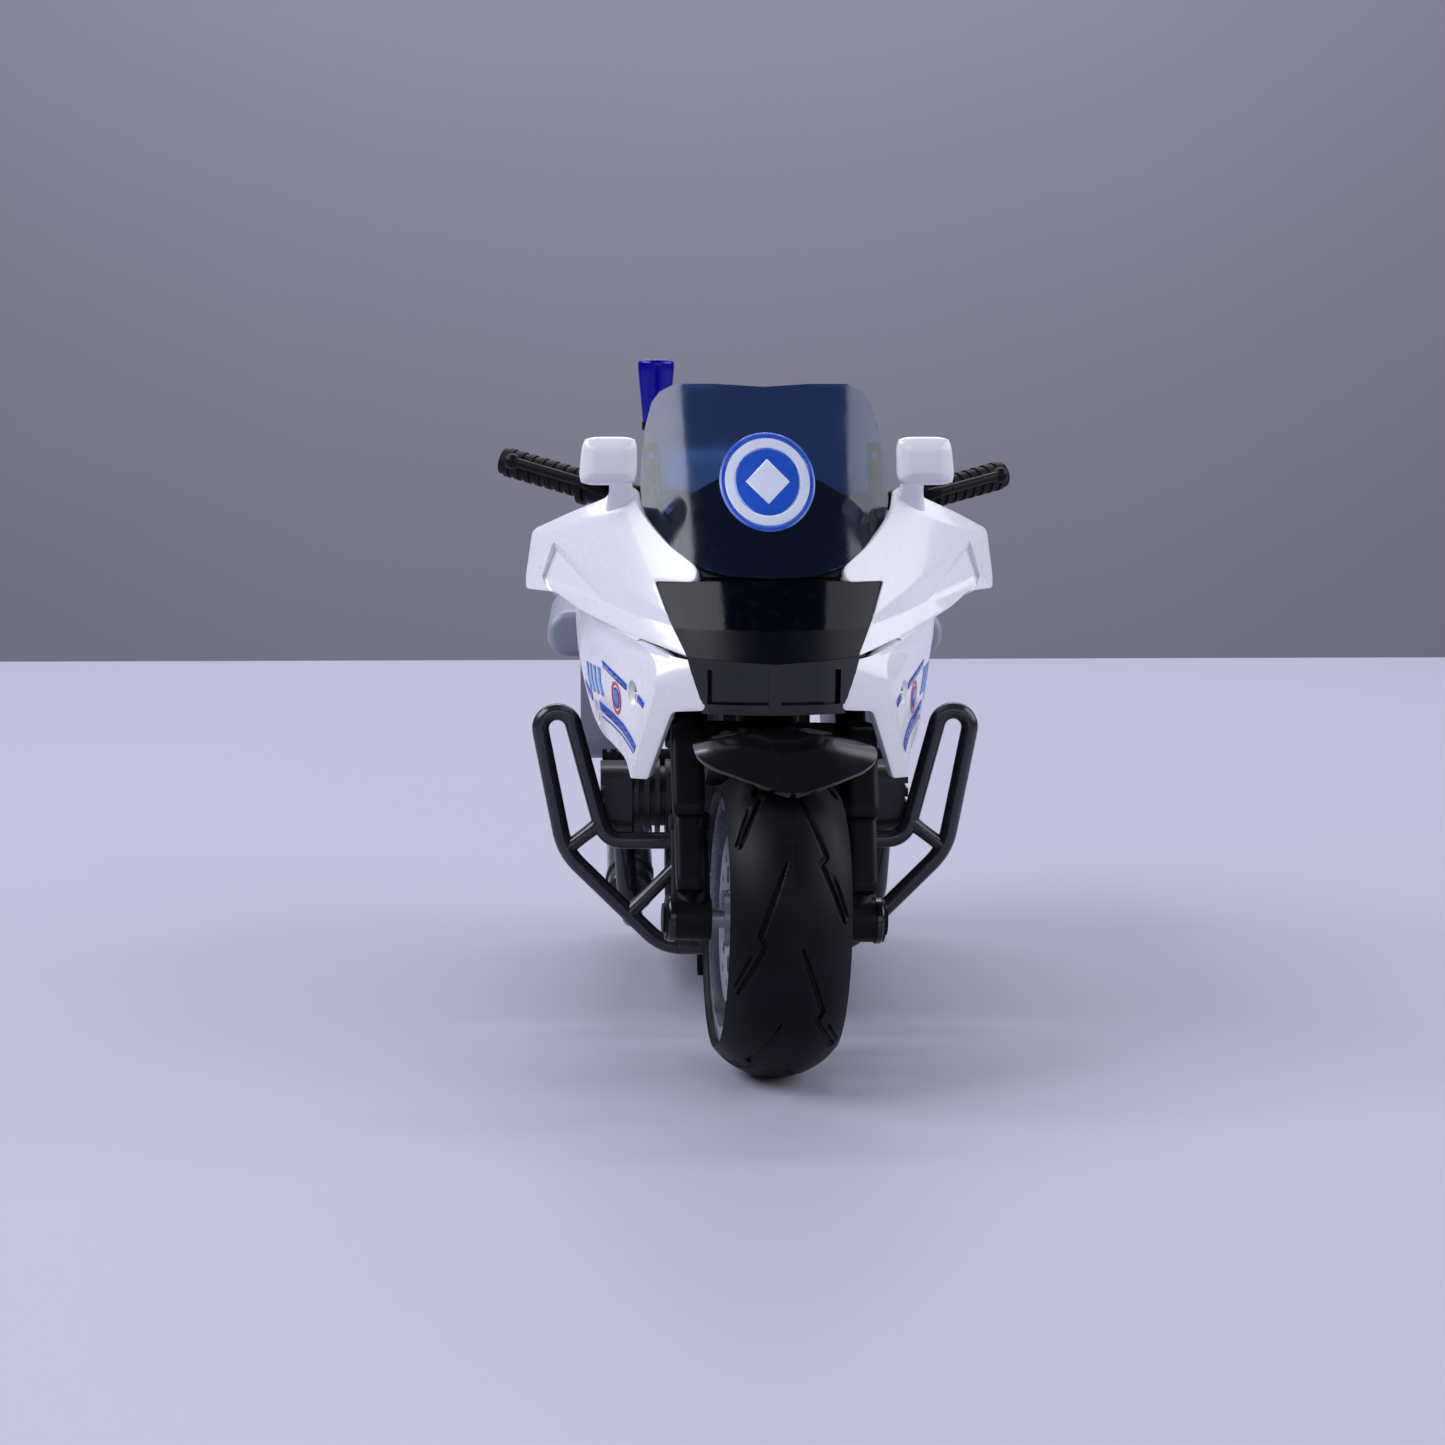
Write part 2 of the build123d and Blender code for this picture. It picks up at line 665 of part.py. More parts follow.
stand_pin = bar_x(stand_y, stand_pivot_height, stand_pin_radius, -stand_pin_reach, stand_pin_reach)
frame_chassis = around(frame_chassis, motor_case_left, motor_case_right, engine_block)
frame_chassis = around(frame_chassis, bar_x(barrel_y, axle_z, motor_case_radius, -10.8, plate_x))
bore = in_fork(Cylinder(stem_radius + running_clearance, fork_length * 3))
frame_chassis = around(frame_chassis, bore, clamp_room)
gear_plate = around(gear_plate, frame_chassis)

# ---- centre stand ------------------------------------------------------------------------------
stand_leg = side_prism(
    [
        (stand_y - 2.2, stand_pivot_height - 1.6),
        (stand_y - 2.2, stand_pivot_height + 1.6),
        (stand_y - 1.2, stand_pivot_height + 2.2),
        (stand_y + 1.2, stand_pivot_height + 2.2),
        (stand_y + 2.2, stand_pivot_height + 1.2),
        (stand_y + 1.6, stand_pivot_height - 3.0),
        (stand_y + 1.6 - stand_foot_forward, 1.4),
        (stand_y + 1.8 - stand_foot_forward, 0.0),
        (stand_y + 1.8 - stand_foot_forward - stand_foot_length, 0.0),
        (stand_y + 1.8 - stand_foot_forward - stand_foot_length, 1.4),
        (stand_y - 1.4 - stand_foot_forward, 1.8),
    ],
    stand_foot_outer - stand_leg_width,
    stand_foot_outer,
)
stand_cross = block(
    -stand_foot_outer,
    stand_foot_outer,
    stand_y - 1.2 - stand_foot_forward * 0.7,
    stand_y + 1.0 - stand_foot_forward * 0.7,
    3.2,
    5.6,
)
centre_stand = stand_leg + mirrored(stand_leg) + stand_cross
centre_stand = centre_stand - bar_x(
    stand_y, stand_pivot_height, stand_pin_radius + running_clearance, -30, 30
)

# ---- cowl skins --------------------------------------------------------------------------------
def cowl_face(z, reaches, start, depth, widths=cowl_widths):
    pairs = list(zip(widths, reaches))
    left = [(-x, front_axle_y + r) for x, r in reversed(pairs[1:])]
    right = [(x, front_axle_y + r) for x, r in pairs]
    points = left + right
    front = Spline(*[(x, y + start, z) for x, y in points])
    back = Spline(*[(x, y + start + depth, z) for x, y in points])
    ends = [Line(front @ 0, back @ 0), Line(front @ 1, back @ 1)]
    return make_face([front, ends[0], back, ends[1]])


def upper_skin(start, depth):
    low_face = cowl_face(cowl_seam_height - 3.0, cowl_seam_reach, start, depth)
    high_face = cowl_face(cowl_top_height + 2.0, cowl_top_reach, start, depth)
    return loft([low_face, high_face], ruled=True)


def lower_skin(start, depth):
    low_face = cowl_face(chin_height, cowl_chin_reach, start, depth)
    high_face = cowl_face(cowl_seam_height + 4.0, cowl_seam_reach, start, depth)
    return loft([low_face, high_face], ruled=True)


# front outlines, (half width, height)
seam_line = [(13.8, 67.4), (17.9, 68.6), (22.4, 69.8), (26.4, 71.3), (31.2, 73.3), (35.0, 75.7)]
wing_end = [(40.2, 75.7), (39.0, 86.0)]
wing_top = [(32.6, 89.0), (26.2, 92.0), (21.6, 93.6)]
screen_side = [(21.1, 90.3), (19.2, 87.6), (16.4, 84.5), (13.6, 82.4)]
tooth = [(11.8, 81.1), (12.4, 78.9), (18.8, 78.7)]
lens_side = [(16.7, 73.4)]
upper_outline = seam_line + wing_end + wing_top + screen_side + tooth + lens_side
upper_thin = front_prism(upper_outline, front_axle_y - 20, 20)
fairing_upper_left = upper_skin(0, fairing_wall) & upper_thin
band_bottom = [(22.4, 69.8), (26.4, 71.3), (31.2, 73.3), (35.0, 75.7), (40.2, 75.7)]
band_bottom += [(39.9, 77.6), (34.4, 77.6), (30.6, 75.2), (25.8, 73.2), (21.8, 71.6)]
band_end = [(40.2, 75.7), (39.0, 86.0), (37.2, 86.7), (38.2, 75.7)]
band_top = [(39.0, 86.0), (32.6, 89.0), (29.0, 90.6), (28.4, 88.8), (32.0, 87.2), (38.6, 84.0)]
rim_depth = 6.0
wing_rim = upper_skin(fairing_wall - 0.6, rim_depth)
for band in (band_bottom, band_end, band_top):
    fairing_upper_left = fairing_upper_left + (wing_rim & front_prism(band, front_axle_y - 20, 30))

mirror_inner_x = 21.4
mirror_outer_x = 30.6
mirror_low = 94.1
mirror_high = 101.9
mirror_y = front_axle_y + 20.2
mirror_depth = 4.8
housing = block(
    mirror_inner_x, mirror_outer_x, mirror_y - mirror_depth / 2, mirror_y + mirror_depth / 2,
    mirror_low, mirror_high,
)
housing = fillet(housing.edges().filter_by(Axis.Y), 1.6)
front_face_edges = housing.faces().sort_by(Axis.Y)[0].edges()
housing = fillet(front_face_edges, 0.9)
mirror_glass = block(
    mirror_inner_x + 0.9, mirror_outer_x - 0.9, mirror_y + mirror_depth / 2 - 0.5,
    mirror_y + mirror_depth / 2 - 0.1, mirror_low + 0.9, mirror_high - 0.9,
)
pocket = block(
    mirror_inner_x + 0.9, mirror_outer_x - 0.9, mirror_y + mirror_depth / 2 - 0.5,
    mirror_y + mirror_depth, mirror_low + 0.9, mirror_high - 0.9,
)
stalk = block(21.6, 25.4, mirror_y - 2.0, mirror_y + 1.6, 90.4, mirror_low + 0.6)
stalk_root = block(21.6, 25.4, mirror_y - 2.0, mirror_y + 3.2, 89.4, 91.6)
fairing_upper_left = fairing_upper_left + stalk + stalk_root + housing - pocket

# lens and grille
lens_outline = [(18.8, 78.7), (12.4, 78.9), (0, 79.3), (-12.4, 78.9), (-18.8, 78.7)]
lens_outline += [(-16.7, 73.4), (-13.8, 67.4), (0, 66.6), (13.8, 67.4), (16.7, 73.4)]
headlight_lens = upper_skin(0.25, 1.6) & front_prism(lens_outline, front_axle_y - 20, 0)
grille_outline = [(13.8, 67.4), (0, 66.6), (-13.8, 67.4), (-11.4, grille_bottom_height)]
grille_outline += [(11.4, grille_bottom_height)]
grille_prism = front_prism(grille_outline, front_axle_y - 20, 0)
nose_grille = lower_skin(0, 3.0) & grille_prism
for side in (-1, 1):
    x0 = 1.0 if side > 0 else -10.6
    pocket_prism = front_prism(
        [(x0, 60.0), (x0 + 9.6, 60.0), (x0 + 9.6, 65.6), (x0, 65.6)], front_axle_y - 20, 0
    )
    nose_grille = nose_grille - (lower_skin(-2, 3.0) & pocket_prism)

reflector_outline = [(12.4, 76.8), (-12.4, 76.8), (-11.0, 69.6), (11.0, 69.6)]
reflector_prism = front_prism(reflector_outline, front_axle_y - 20, 0)
headlight_reflector = upper_skin(1.85, 2.6) & reflector_prism
for side in (-1, 1):
    bowl = Pos(side * 5.6, front_axle_y - 0.6, 74.0) * Sphere(3.6)
    headlight_reflector = headlight_reflector - bowl

# ---- windscreen --------------------------------------------------------------------------------
def screen_skin(start, depth):
    widths = [0, 6, 12, 18, 24]
    z0 = screen_bottom_height - 6
    rise = screen_top_height + 4 - z0
    y0 = front_axle_y + screen_bottom_reach - 6 * screen_slope
    points = [(-x, y0 + screen_curve * x**2) for x in reversed(widths[1:])]
    points += [(x, y0 + screen_curve * x**2) for x in widths]
    front = Spline(*[(x, y + start, z0) for x, y in points])
    back = Spline(*[(x, y + start + depth, z0) for x, y in points])
    ends = [Line(front @ 0, back @ 0), Line(front @ 1, back @ 1)]
    face = make_face([front, ends[0], back, ends[1]])
    lift = Vector(0, screen_slope, 1)
    return extrude(face, amount=rise * lift.length, dir=lift)


def both_sides(points):
    return points + [(-x, z) for x, z in reversed(points) if x > 0]


screen_half = [(0, screen_bottom_height), (7.0, 79.9), (11.0, 80.9), (13.6, 82.2), (16.6, 84.4)]
screen_half += [(19.4, 87.6), (screen_half_width, 91.0), (screen_half_width + 0.1, 96.0)]
screen_half += [(19.8, 103.0), (18.6, 107.4), (17.2, 109.3), (14.6, screen_top_height)]
screen_half += [(8.0, screen_top_height), (0, screen_top_height - 0.5)]
screen_right = [(x, z) for x, z in screen_half]
screen_left = [(-x, z) for x, z in reversed(screen_half) if x > 0]
screen_prism = front_prism(screen_right + screen_left, front_axle_y - 20, 20)
windscreen = screen_skin(0, screen_wall) & screen_prism
fairing_upper_right = mirrored(fairing_upper_left)
windscreen = around(windscreen, fairing_upper_left, fairing_upper_right, headlight_lens)

# ---- cockpit: headlamp shell, dash and screen brackets -----------------------------------------
shell_outline = [(19.4, 84.6), (19.4, 76.0), (15.0, 67.0), (-15.0, 67.0), (-19.4, 76.0)]
shell_outline += [(-19.4, 84.6)]
cockpit_cowl = upper_skin(fairing_wall, 1.8) & front_prism(shell_outline, front_axle_y - 20, 10)
cockpit_cowl = cockpit_cowl - reflector_prism
dash_y = front_axle_y + 18.4
dash_outline = [(-17.0, 79.0), (17.0, 79.0), (17.6, 88.0), (13.0, 95.6), (6.0, 97.0)]
dash_outline += [(-6.0, 97.0), (-13.0, 95.6), (-17.6, 88.0)]
dash = front_prism(dash_outline, dash_y, dash_y + 2.6)
floor_plate = block(-17.0, 17.0, front_axle_y + 4.0, dash_y + 1.0, 79.6, 81.2)
lug_outline = [(16.6, 84.0), (19.4, 88.0), (19.9, 100.6), (17.4, 100.6), (16.8, 90.0), (13.0, 84.0)]
lug_layer = screen_skin(screen_wall, 1.5)
screen_lug = lug_layer & front_prism(lug_outline, front_axle_y, 20)
screen_lug = screen_lug - Pos(18.6, 0, 98.4) * Rot(90, 0, 0) * Cylinder(0.6, 200)
side_web = block(15.4, 18.6, front_axle_y + 12.0, dash_y + 2.6, 83.0, 87.0)
behind_screen = screen_skin(screen_wall, 80)
interior = (floor_plate + dash + side_web + mirrored(side_web)) & behind_screen
cockpit_cowl = cockpit_cowl + interior + screen_lug + mirrored(screen_lug)
leg_room = []
for step in range(9):
    swing = steering_lock_deg * (step / 4 - 1)
    room = Cylinder(stanchion_radius + leg_swing_gap, fork_length + leg_swing_gap, align=low)
    leg_room.append(in_fork(Rot(0, 0, swing) * Pos(fork_half_track, -fork_offset, 0) * room))
    leg_room.append(in_fork(Rot(0, 0, swing) * Pos(-fork_half_track, -fork_offset, 0) * room))
cockpit_cowl = around(cockpit_cowl, *leg_room)
cockpit_cowl = around(cockpit_cowl, headlight_reflector, headlight_lens, windscreen)
cockpit_cowl = around(cockpit_cowl, fairing_upper_left, fairing_upper_right)
clock_left = Pos(6.4, dash_y + 2.6, 90.4) * Rot(90, 0, 0) * Cylinder(3.6, 0.8)
gauges = clock_left + mirrored(clock_left)
gauges = gauges + block(-1.8, 1.8, dash_y + 2.2, dash_y + 3.0, 86.0, 89.0)
cockpit_cowl = cockpit_cowl + gauges

# ---- side fairings -----------------------------------------------------------------------------
def side_face(z, crease, mid, wide, rear):
    pts = [crease, mid, wide, rear]
    outer = Spline(*[(x, front_axle_y + r, z) for x, r in pts])
    t = fairing_wall * 0.8
    shift = [(-0.9, 2.0), (-t, 0.5), (-t, 0.2), (-t, 0)]
    inner = Spline(*[(x + s[0], front_axle_y + r + s[1], z) for (x, r), s in zip(pts, shift)])
    ends = [Line(outer @ 0, inner @ 0), Line(outer @ 1, inner @ 1)]
    return make_face([outer, ends[0], inner, ends[1]])


side_stations = [
    (47.2, (22.7, 10.6), (25.6, 30.0), (27.6, 46.0), (28.4, 70.0)),
    (60.0, (18.9, 6.4), (24.8, 23.0), (30.0, 50.0), (31.2, 70.0)),
    (66.5, (18.9, 6.0), (25.4, 22.0), (30.8, 50.0), (31.8, 70.0)),
    (74.0, (27.6, 19.6), (30.0, 31.0), (31.2, 50.0), (31.8, 70.0)),
]
side_wall = None
for lower, upper in zip(side_stations, side_stations[1:]):
    piece = loft([side_face(*lower), side_face(*upper)], ruled=True)
    side_wall = piece if side_wall is None else side_wall + piece
flange_outline = [(11.2, 59.1), (13.8, 67.4), (17.9, 68.6), (19.3, 66.5), (19.0, 60.0)]
flange_outline += [(20.9, 53.6), (22.9, 47.2), (19.8, 47.2), (18.0, 53.6), (16.6, 58.6)]
side_flange = lower_skin(0, 2.0) & front_prism(flange_outline, front_axle_y - 20, 10)
under_seam = [(13.8, 67.4), (17.9, 68.6), (22.4, 69.8), (26.4, 71.3), (31.2, 73.3), (36.0, 73.3)]
under_seam += [(36.0, 40.0), (10.0, 40.0), (10.9, 59.0)]
side_view_outline = [
    (front_axle_y - 10, 47.9),
    (front_axle_y + 30, 47.7),
    (front_axle_y + 40, 49.0),
    (front_axle_y + 48, 53.0),
    (front_axle_y + 56, 58.0),
    (front_axle_y + 66, 64.0),
    (front_axle_y + 68, 72.0),
    (front_axle_y + 60, 73.2),
    (front_axle_y + 40, 74.0),
    (front_axle_y - 10, 74.0),
]
fairing_side_left = (side_wall + side_flange) & side_prism(side_view_outline, 0, 50)
fairing_side_left = fairing_side_left & front_prism(under_seam, front_axle_y - 20, 30)
screw_places = [(14.4, 60.2), (40.4, 54.4)]
screw_radius = 1.5
recess_radius = 2.2


def fairing_x(reach, z):
    probe = block(0, 50, front_axle_y + reach - 0.05, front_axle_y + reach + 0.05, z - 0.05, z + 0.05)
    return (fairing_side_left & probe).bounding_box().max.X


def screw_head(x, y, z):
    head = bar_x(y, z, screw_radius, x, x + 1.0)
    head = head - block(x + 0.6, x + 2, y - 1.0, y + 1.0, z - 0.2, z + 0.2)
    return head - block(x + 0.6, x + 2, y - 0.2, y + 0.2, z - 1.0, z + 1.0)


screws_left = None
for reach, z in screw_places:
    x = fairing_x(reach, z)
    y = front_axle_y + reach
    fairing_side_left = fairing_side_left - bar_x(y, z, recess_radius, x - 1.0, x + 3)
    fairing_side_left = fairing_side_left + bar_x(y, z, recess_radius + 0.8, x - 3.0, x - 1.2)
    head = screw_head(x - 1.2, y, z)
    screws_left = head if screws_left is None else screws_left + head
fairing_side_left = around(fairing_side_left, screws_left, fairing_upper_left, nose_grille)
fairing_side_right = mirrored(fairing_side_left)
fairing_screws = screws_left + mirrored(screws_left)
stay_reach = 44.0
stay_half = fairing_x(stay_reach, 62.0) - fairing_wall * 0.3
stay_y = front_axle_y + stay_reach
fairing_stay = block(-stay_half, stay_half, stay_y, stay_y + 5.0, 60.5, 64.5)
frame_chassis = frame_chassis + fairing_stay
frame_chassis = around(frame_chassis, fairing_side_left, fairing_side_right)
frame_chassis = around(frame_chassis, nose_grille, cockpit_cowl, headlight_reflector)

# ---- tank, seat, tail --------------------------------------------------------------------------
def rounded_section(y, half_width, z0, z1, corner):
    sketch = RectangleRounded(half_width * 2, z1 - z0, corner)
    return Plane(origin=(0, y, (z0 + z1) / 2), x_dir=(1, 0, 0), z_dir=(0, 1, 0)) * sketch


fuel_tank = loft(
    [
        rounded_section(-20.0, 13.0, 66.0, 80.0, 4.0),
        rounded_section(-8.0, 17.5, 66.0, 87.0, 6.5),
        rounded_section(6.0, 15.0, 66.0, 84.0, 6.0),
        rounded_section(17.0, 9.0, 66.0, 73.6, 3.0),
    ]
)
filler = Pos(0, -7.0, 87.2) * Cylinder(3.6, 2.6)
filler = filler - Pos(0, -7.0, 88.6) * Box(4.4, 1.0, 1.0)
fuel_tank = fuel_tank + filler
tail_cowl = loft(
    [
        rounded_section(18.0, 9.5, 64.2, 68.6, 1.5),
        rounded_section(40.0, 13.5, 64.6, 71.0, 2.5),
        rounded_section(tail_y - 4.0, 9.0, 66.0, 73.4, 2.5),
    ]
)
seat = loft(
    [
        rounded_section(12.0, 7.0, 67.0, 75.0, 3.0),
        rounded_section(24.0, 14.0, 67.5, 76.5, 3.6),
        rounded_section(40.0, 15.0, 69.0, 79.0, 3.6),
        rounded_section(54.0, 12.5, 70.0, 80.0, 3.6),
    ]
)
box_front = 55.5
box_back = tail_y - 2.6
radio_box = block(-14.0 + 1.0, 13.0, box_front, box_back, 76.0, 97.0)
radio_box = fillet(radio_box.edges().filter_by(Axis.Z), 3.0)
radio_box = fillet(radio_box.faces().sort_by(Axis.Z)[-1].edges(), 2.2)
radio_box = radio_box - block(-20, 20, 40, 100, 88.2, 88.7)
radio_box = radio_box + block(-12.2, 12.2, box_front + 0.8, box_back - 0.8, 86.0, 91.0)
rack = block(-10.5, 10.5, box_front + 1.0, box_back - 2.0, 70.0, 76.0)
rack = rack - block(-8.0, 8.0, 40, 100, 72.0, 75.0)
tail_lamp = block(-7.0, 7.0, tail_y - 5.4, tail_y - 0.6, 67.6, 71.8)
tail_lamp = fillet(tail_lamp.edges().filter_by(Axis.Y), 1.4)
tail_cowl = around(tail_cowl, tail_lamp)
tail_cowl = tail_cowl + (rack & block(-20, 20, 0, tail_y, 70, 76))
seat = around(seat, fuel_tank, tail_cowl, radio_box)
tail_cowl = around(tail_cowl, fuel_tank, seat, tail_lamp)
frame_chassis = around(frame_chassis, fuel_tank, seat, tail_cowl)

# ---- rear fender -------------------------------------------------------------------------------
rear_inner = wheel_diameter / 2 + 1.8
fender_outline = [(0, rear_inner), (0, rear_inner + 1.5)]
rear_guard = bar_x(0, 0, rear_inner + 1.5, -11.4, 11.4) - bar_x(0, 0, rear_inner, -12, 12)
rear_guard = rear_guard & side_prism(
    [(0, 0), (-13, 34), (0, 40), (30, 30), (34, 5), (30, 2.0)], -20, 20
)
rear_guard = rear_place * rear_guard
plate_holder = side_prism(
    [
        (rear_axle_y + 22.0, axle_z + 16.0),
        (rear_axle_y + 27.0, axle_z + 19.0),
        (tail_y - 3.6, 68.0),
        (tail_y - 8.6, 68.0),
    ],
    -5.0,
    5.0,
)
number_plate = block(-8.0, 8.0, tail_y - 1.2, tail_y, 44.0, 55.0)
plate_arm = block(-3.0, 3.0, rear_axle_y + 20.0, tail_y - 1.2, 48.0, 51.0)
wheel_room = rear_place * bar_x(0, 0, rear_inner, -20, 20)
rear_fender = rear_guard + around(plate_holder + plate_arm, wheel_room) + number_plate
rear_fender = around(rear_fender, tail_cowl, tail_lamp)
frame_chassis = around(frame_chassis, rear_fender, wheel_room & block(-11.0, 11.0, 0, 99, 0, 99))

# ---- panniers ----------------------------------------------------------------------------------
pannier_front = front_axle_y + 88.0
pannier_back = tail_y - 6.0


def pannier():
    x0 = 18.4
    body = block(x0, 31.0, pannier_front, pannier_back, 40.0, 68.4)
    body = fillet(body.edges().filter_by(Axis.X), 5.0)
    bulge = block(24.0, 37.2, pannier_front, pannier_back, 59.6, 68.4)
    bulge = fillet(bulge.edges().filter_by(Axis.Y), 4.2)
    ends = bulge.faces().sort_by(Axis.Y)
    bulge = fillet(ends[0].edges() + ends[-1].edges(), 1.6)
    return body + bulge


pannier_left = pannier()
pannier_left = pannier_left - block(15, 50, 0, 99, 57.6, 58.2)
pannier_left = pannier_left + block(19.0, 30.4, pannier_front + 3, pannier_back - 3, 56.0, 60.0)
pannier_rail = block(-18.4, 18.4, 0, 5.0, 60.0, 63.2)
rails = Pos(0, rear_axle_y - 18.0, 0) * pannier_rail + Pos(0, rear_axle_y + 10.0, 0) * pannier_rail
rails = rails - block(-spine_half_width, spine_half_width, -99, 99, 0, 99)
frame_chassis = frame_chassis + around(rails, tail_cowl, rear_fender, seat)
pannier_right = mirrored(pannier_left)

# ---- beacon on its pole ------------------------------------------------------------------------
pole_x = -15.6
pole_y = front_axle_y + 140.0
lamp_low = 103.0
lamp_high = 115.6
lamp_radius = 3.7
lamp_pole = Pos(pole_x, pole_y, 78.0) * Cylinder(1.3, lamp_low - 79.0, align=low)
lamp_pole = lamp_pole + Pos(pole_x, pole_y, lamp_low - 1.6) * Cylinder(2.9, 1.6, align=low)
lamp_pole = lamp_pole + block(pole_x - 1.8, -12.0, pole_y - 2.0, pole_y + 2.0, 77.4, 80.4)
lamp_pole = lamp_pole + block(pole_x - 1.8, -12.0, pole_y - 2.0, pole_y + 2.0, 91.0, 93.0)
lamp_pole = around(lamp_pole, radio_box)
beacon_lens = Pos(pole_x, pole_y, lamp_low) * Cone(2.7, lamp_radius, lamp_high - lamp_low - 1.5, align=low)
beacon_cap = Pos(pole_x, pole_y, lamp_high - 1.5) * Cylinder(lamp_radius, 1.5, align=low)
beacon_lens = fillet((beacon_lens + beacon_cap).faces().sort_by(Axis.Z)[-1].edges(), 0.9)

# ---- crash bars --------------------------------------------------------------------------------
crash_y = front_axle_y + crash_bar_reach


def crash_bar():
    arch_x = (crash_outer_x + crash_inner_x) / 2
    pts = [
        (engine_half_width - 0.5, 30.2),
        (26.4, 30.2),
        (crash_inner_x, crash_top_height - 4.2),
        (arch_x - 1.7, crash_top_height),
        (arch_x + 1.7, crash_top_height),
        (crash_outer_x, crash_top_height - 4.2),
        (33.8, 28.6),
        (16.4, 11.2),
        (8.5, 11.2),
    ]
    path = [(x, crash_y, z) for x, z in pts]
    shape = bent_tube(path, crash_tube_radius, 1.7)
    braces = [((33.4, 28.9), (28.0, 33.0)), ((22.4, 17.4), (13.0, 26.6))]
    for (xa, za), (xb, zb) in braces:
        shape = shape + rod((xa, crash_y, za), (xb, crash_y, zb), crash_tube_radius * 0.85)
    return shape


crash_bar_left = around(crash_bar(), engine_block)
crash_bar_left = around(crash_bar_left, cylinder_left)
crash_bar_left = around(crash_bar_left, engine_cover_left)
crash_bar_right = mirrored(crash_bar_left)

# ---- exhaust -----------------------------------------------------------------------------------
def header_pipe():
    path = [
        (23.4, cylinder_y, cylinder_z - 4.0),
        (22.6, cylinder_y + 2.0, 19.5),
        (21.6, cylinder_y + 10.0, 13.0),
        (21.6, rear_axle_y - 30.0, 14.4),
    ]
    return bent_tube(path, 1.9, 3.4)


header_left = around(header_pipe(), cylinder_left)
muffler_tilt = 9.0
muffler_radius = 4.4
muffler_front = rear_axle_y - 32.0
muffler_length = 48.0
can = Cylinder(muffler_radius, muffler_length, align=low)
can = fillet(can.edges(), 1.0)
can = can - Pos(0, 0, muffler_length - 5.0) * Cylinder(muffler_radius - 1.3, 10.0, align=low)
for index in (0, 1):
    band = Pos(0, 0, 7.0 + index * 32.0) * Cylinder(muffler_radius + 0.4, 1.8, align=low)
    can = can + band
muffler_left = Location((21.6, muffler_front, 14.6), (-90 + muffler_tilt, 0, 0)) * can
muffler_strap = block(18.4, 21.6, rear_axle_y - 14.0, rear_axle_y - 10.0, 18.0, 40.6)
muffler_left = around(muffler_left + muffler_strap, gear_cover, pannier_left)
header_left = around(header_left, muffler_left)
exhaust_headers = header_left + mirrored(header_left)
muffler_right = mirrored(muffler_left)

# ---- foot rests --------------------------------------------------------------------------------
peg = rod((9.0, engine_back + 4.0, 41.0), (15.0, engine_back + 4.0, 41.0), 1.8)
peg = peg + rod((14.0, engine_back + 4.0, 41.0), (27.0, engine_back + 4.0, 41.0), 2.1)
for index in range(6):
    x = 16.5 + index * 1.8
    peg = peg - block(x, x + 0.6, -40, 60, 42.4, 45.0)
footrests = peg + mirrored(peg)
footrests = around(footrests, frame_chassis, engine_block, gear_cover, gear_plate, swingarm_right)
footrests = around(footrests, motor_case_left, motor_case_right)

# ---- case screws -------------------------------------------------------------------------------
case_screws = fairing_screws
for y, z in ((barrel_y - 9.0, axle_z + 9.0), (idler_y, axle_z + 12.6), (idler_y, axle_z - 12.6)):
    x = cover_x + cover_wall
    case_screws = case_screws + screw_head(x, y, z)

# ---- output ------------------------------------------------------------------------------------
turned = {
    "front_tyre": front_place * front_tyre,
    "front_rim": front_place * (front_rim - front_discs),
    "front_discs": front_place * front_discs,
    "front_axle": front_place * front_axle,
    "fork_leg_left": left_leg,
    "fork_leg_right": right_leg,
    "triple_clamp": triple_clamp,
    "front_fender": front_fender,
    "handlebar": handlebar,
    "grip_left": grip_left,
    "grip_right": grip_right,
    "lever_left": lever_left,
    "lever_right": lever_right,
}
straight = {
    "rear_tyre": rear_place * rear_tyre,
    "rear_rim": rear_place * (rear_rim + rear_disc),
    "rear_axle": rear_axle,
    "axle_gear": axle_gear,
    "idler_gear": idler_gear,
    "barrel_gear": barrel_gear,
    "gear_plate": gear_plate,
    "gear_cover": gear_cover,
    "swingarm_right": swingarm_right,
    "motor_case_left": motor_case_left,
    "motor_case_right": motor_case_right,
    "mainspring": mainspring,
    "engine_block": engine_block,
    "cylinder_left": cylinder_left,
    "cylinder_right": cylinder_right,
    "engine_cover_left": engine_cover_left,
    "engine_cover_right": engine_cover_right,
    "frame_chassis": frame_chassis,
    "stand_pin": stand_pin,
    "centre_stand": centre_stand,
    "fairing_upper_left": fairing_upper_left,
    "fairing_upper_right": fairing_upper_right,
    "mirror_glass": mirror_glass + mirrored(mirror_glass),
    "fairing_side_left": fairing_side_left,
    "fairing_side_right": fairing_side_right,
    "body_screws": case_screws,
    "headlight_lens": headlight_lens,
    "headlight_reflector": headlight_reflector,
    "nose_grille": nose_grille,
    "windscreen": windscreen,
    "cockpit_cowl": cockpit_cowl,
    "fuel_tank": fuel_tank,
    "seat": seat,
    "tail_cowl": tail_cowl,
    "tail_lamp": tail_lamp,
    "radio_box": radio_box,
    "rear_fender": rear_fender,
    "pannier_left": pannier_left,
    "pannier_right": pannier_right,
    "lamp_pole": lamp_pole,
    "beacon_lens": beacon_lens,
    "crash_bar_left": crash_bar_left,
    "crash_bar_right": crash_bar_right,
    "exhaust_headers": exhaust_headers,
    "muffler_left": muffler_left,
    "muffler_right": muffler_right,
    "footrests": footrests,
}
for name, shape in straight.items():
    save(name, shape)
for name, shape in turned.items():
    save(name, steer_turn * shape)
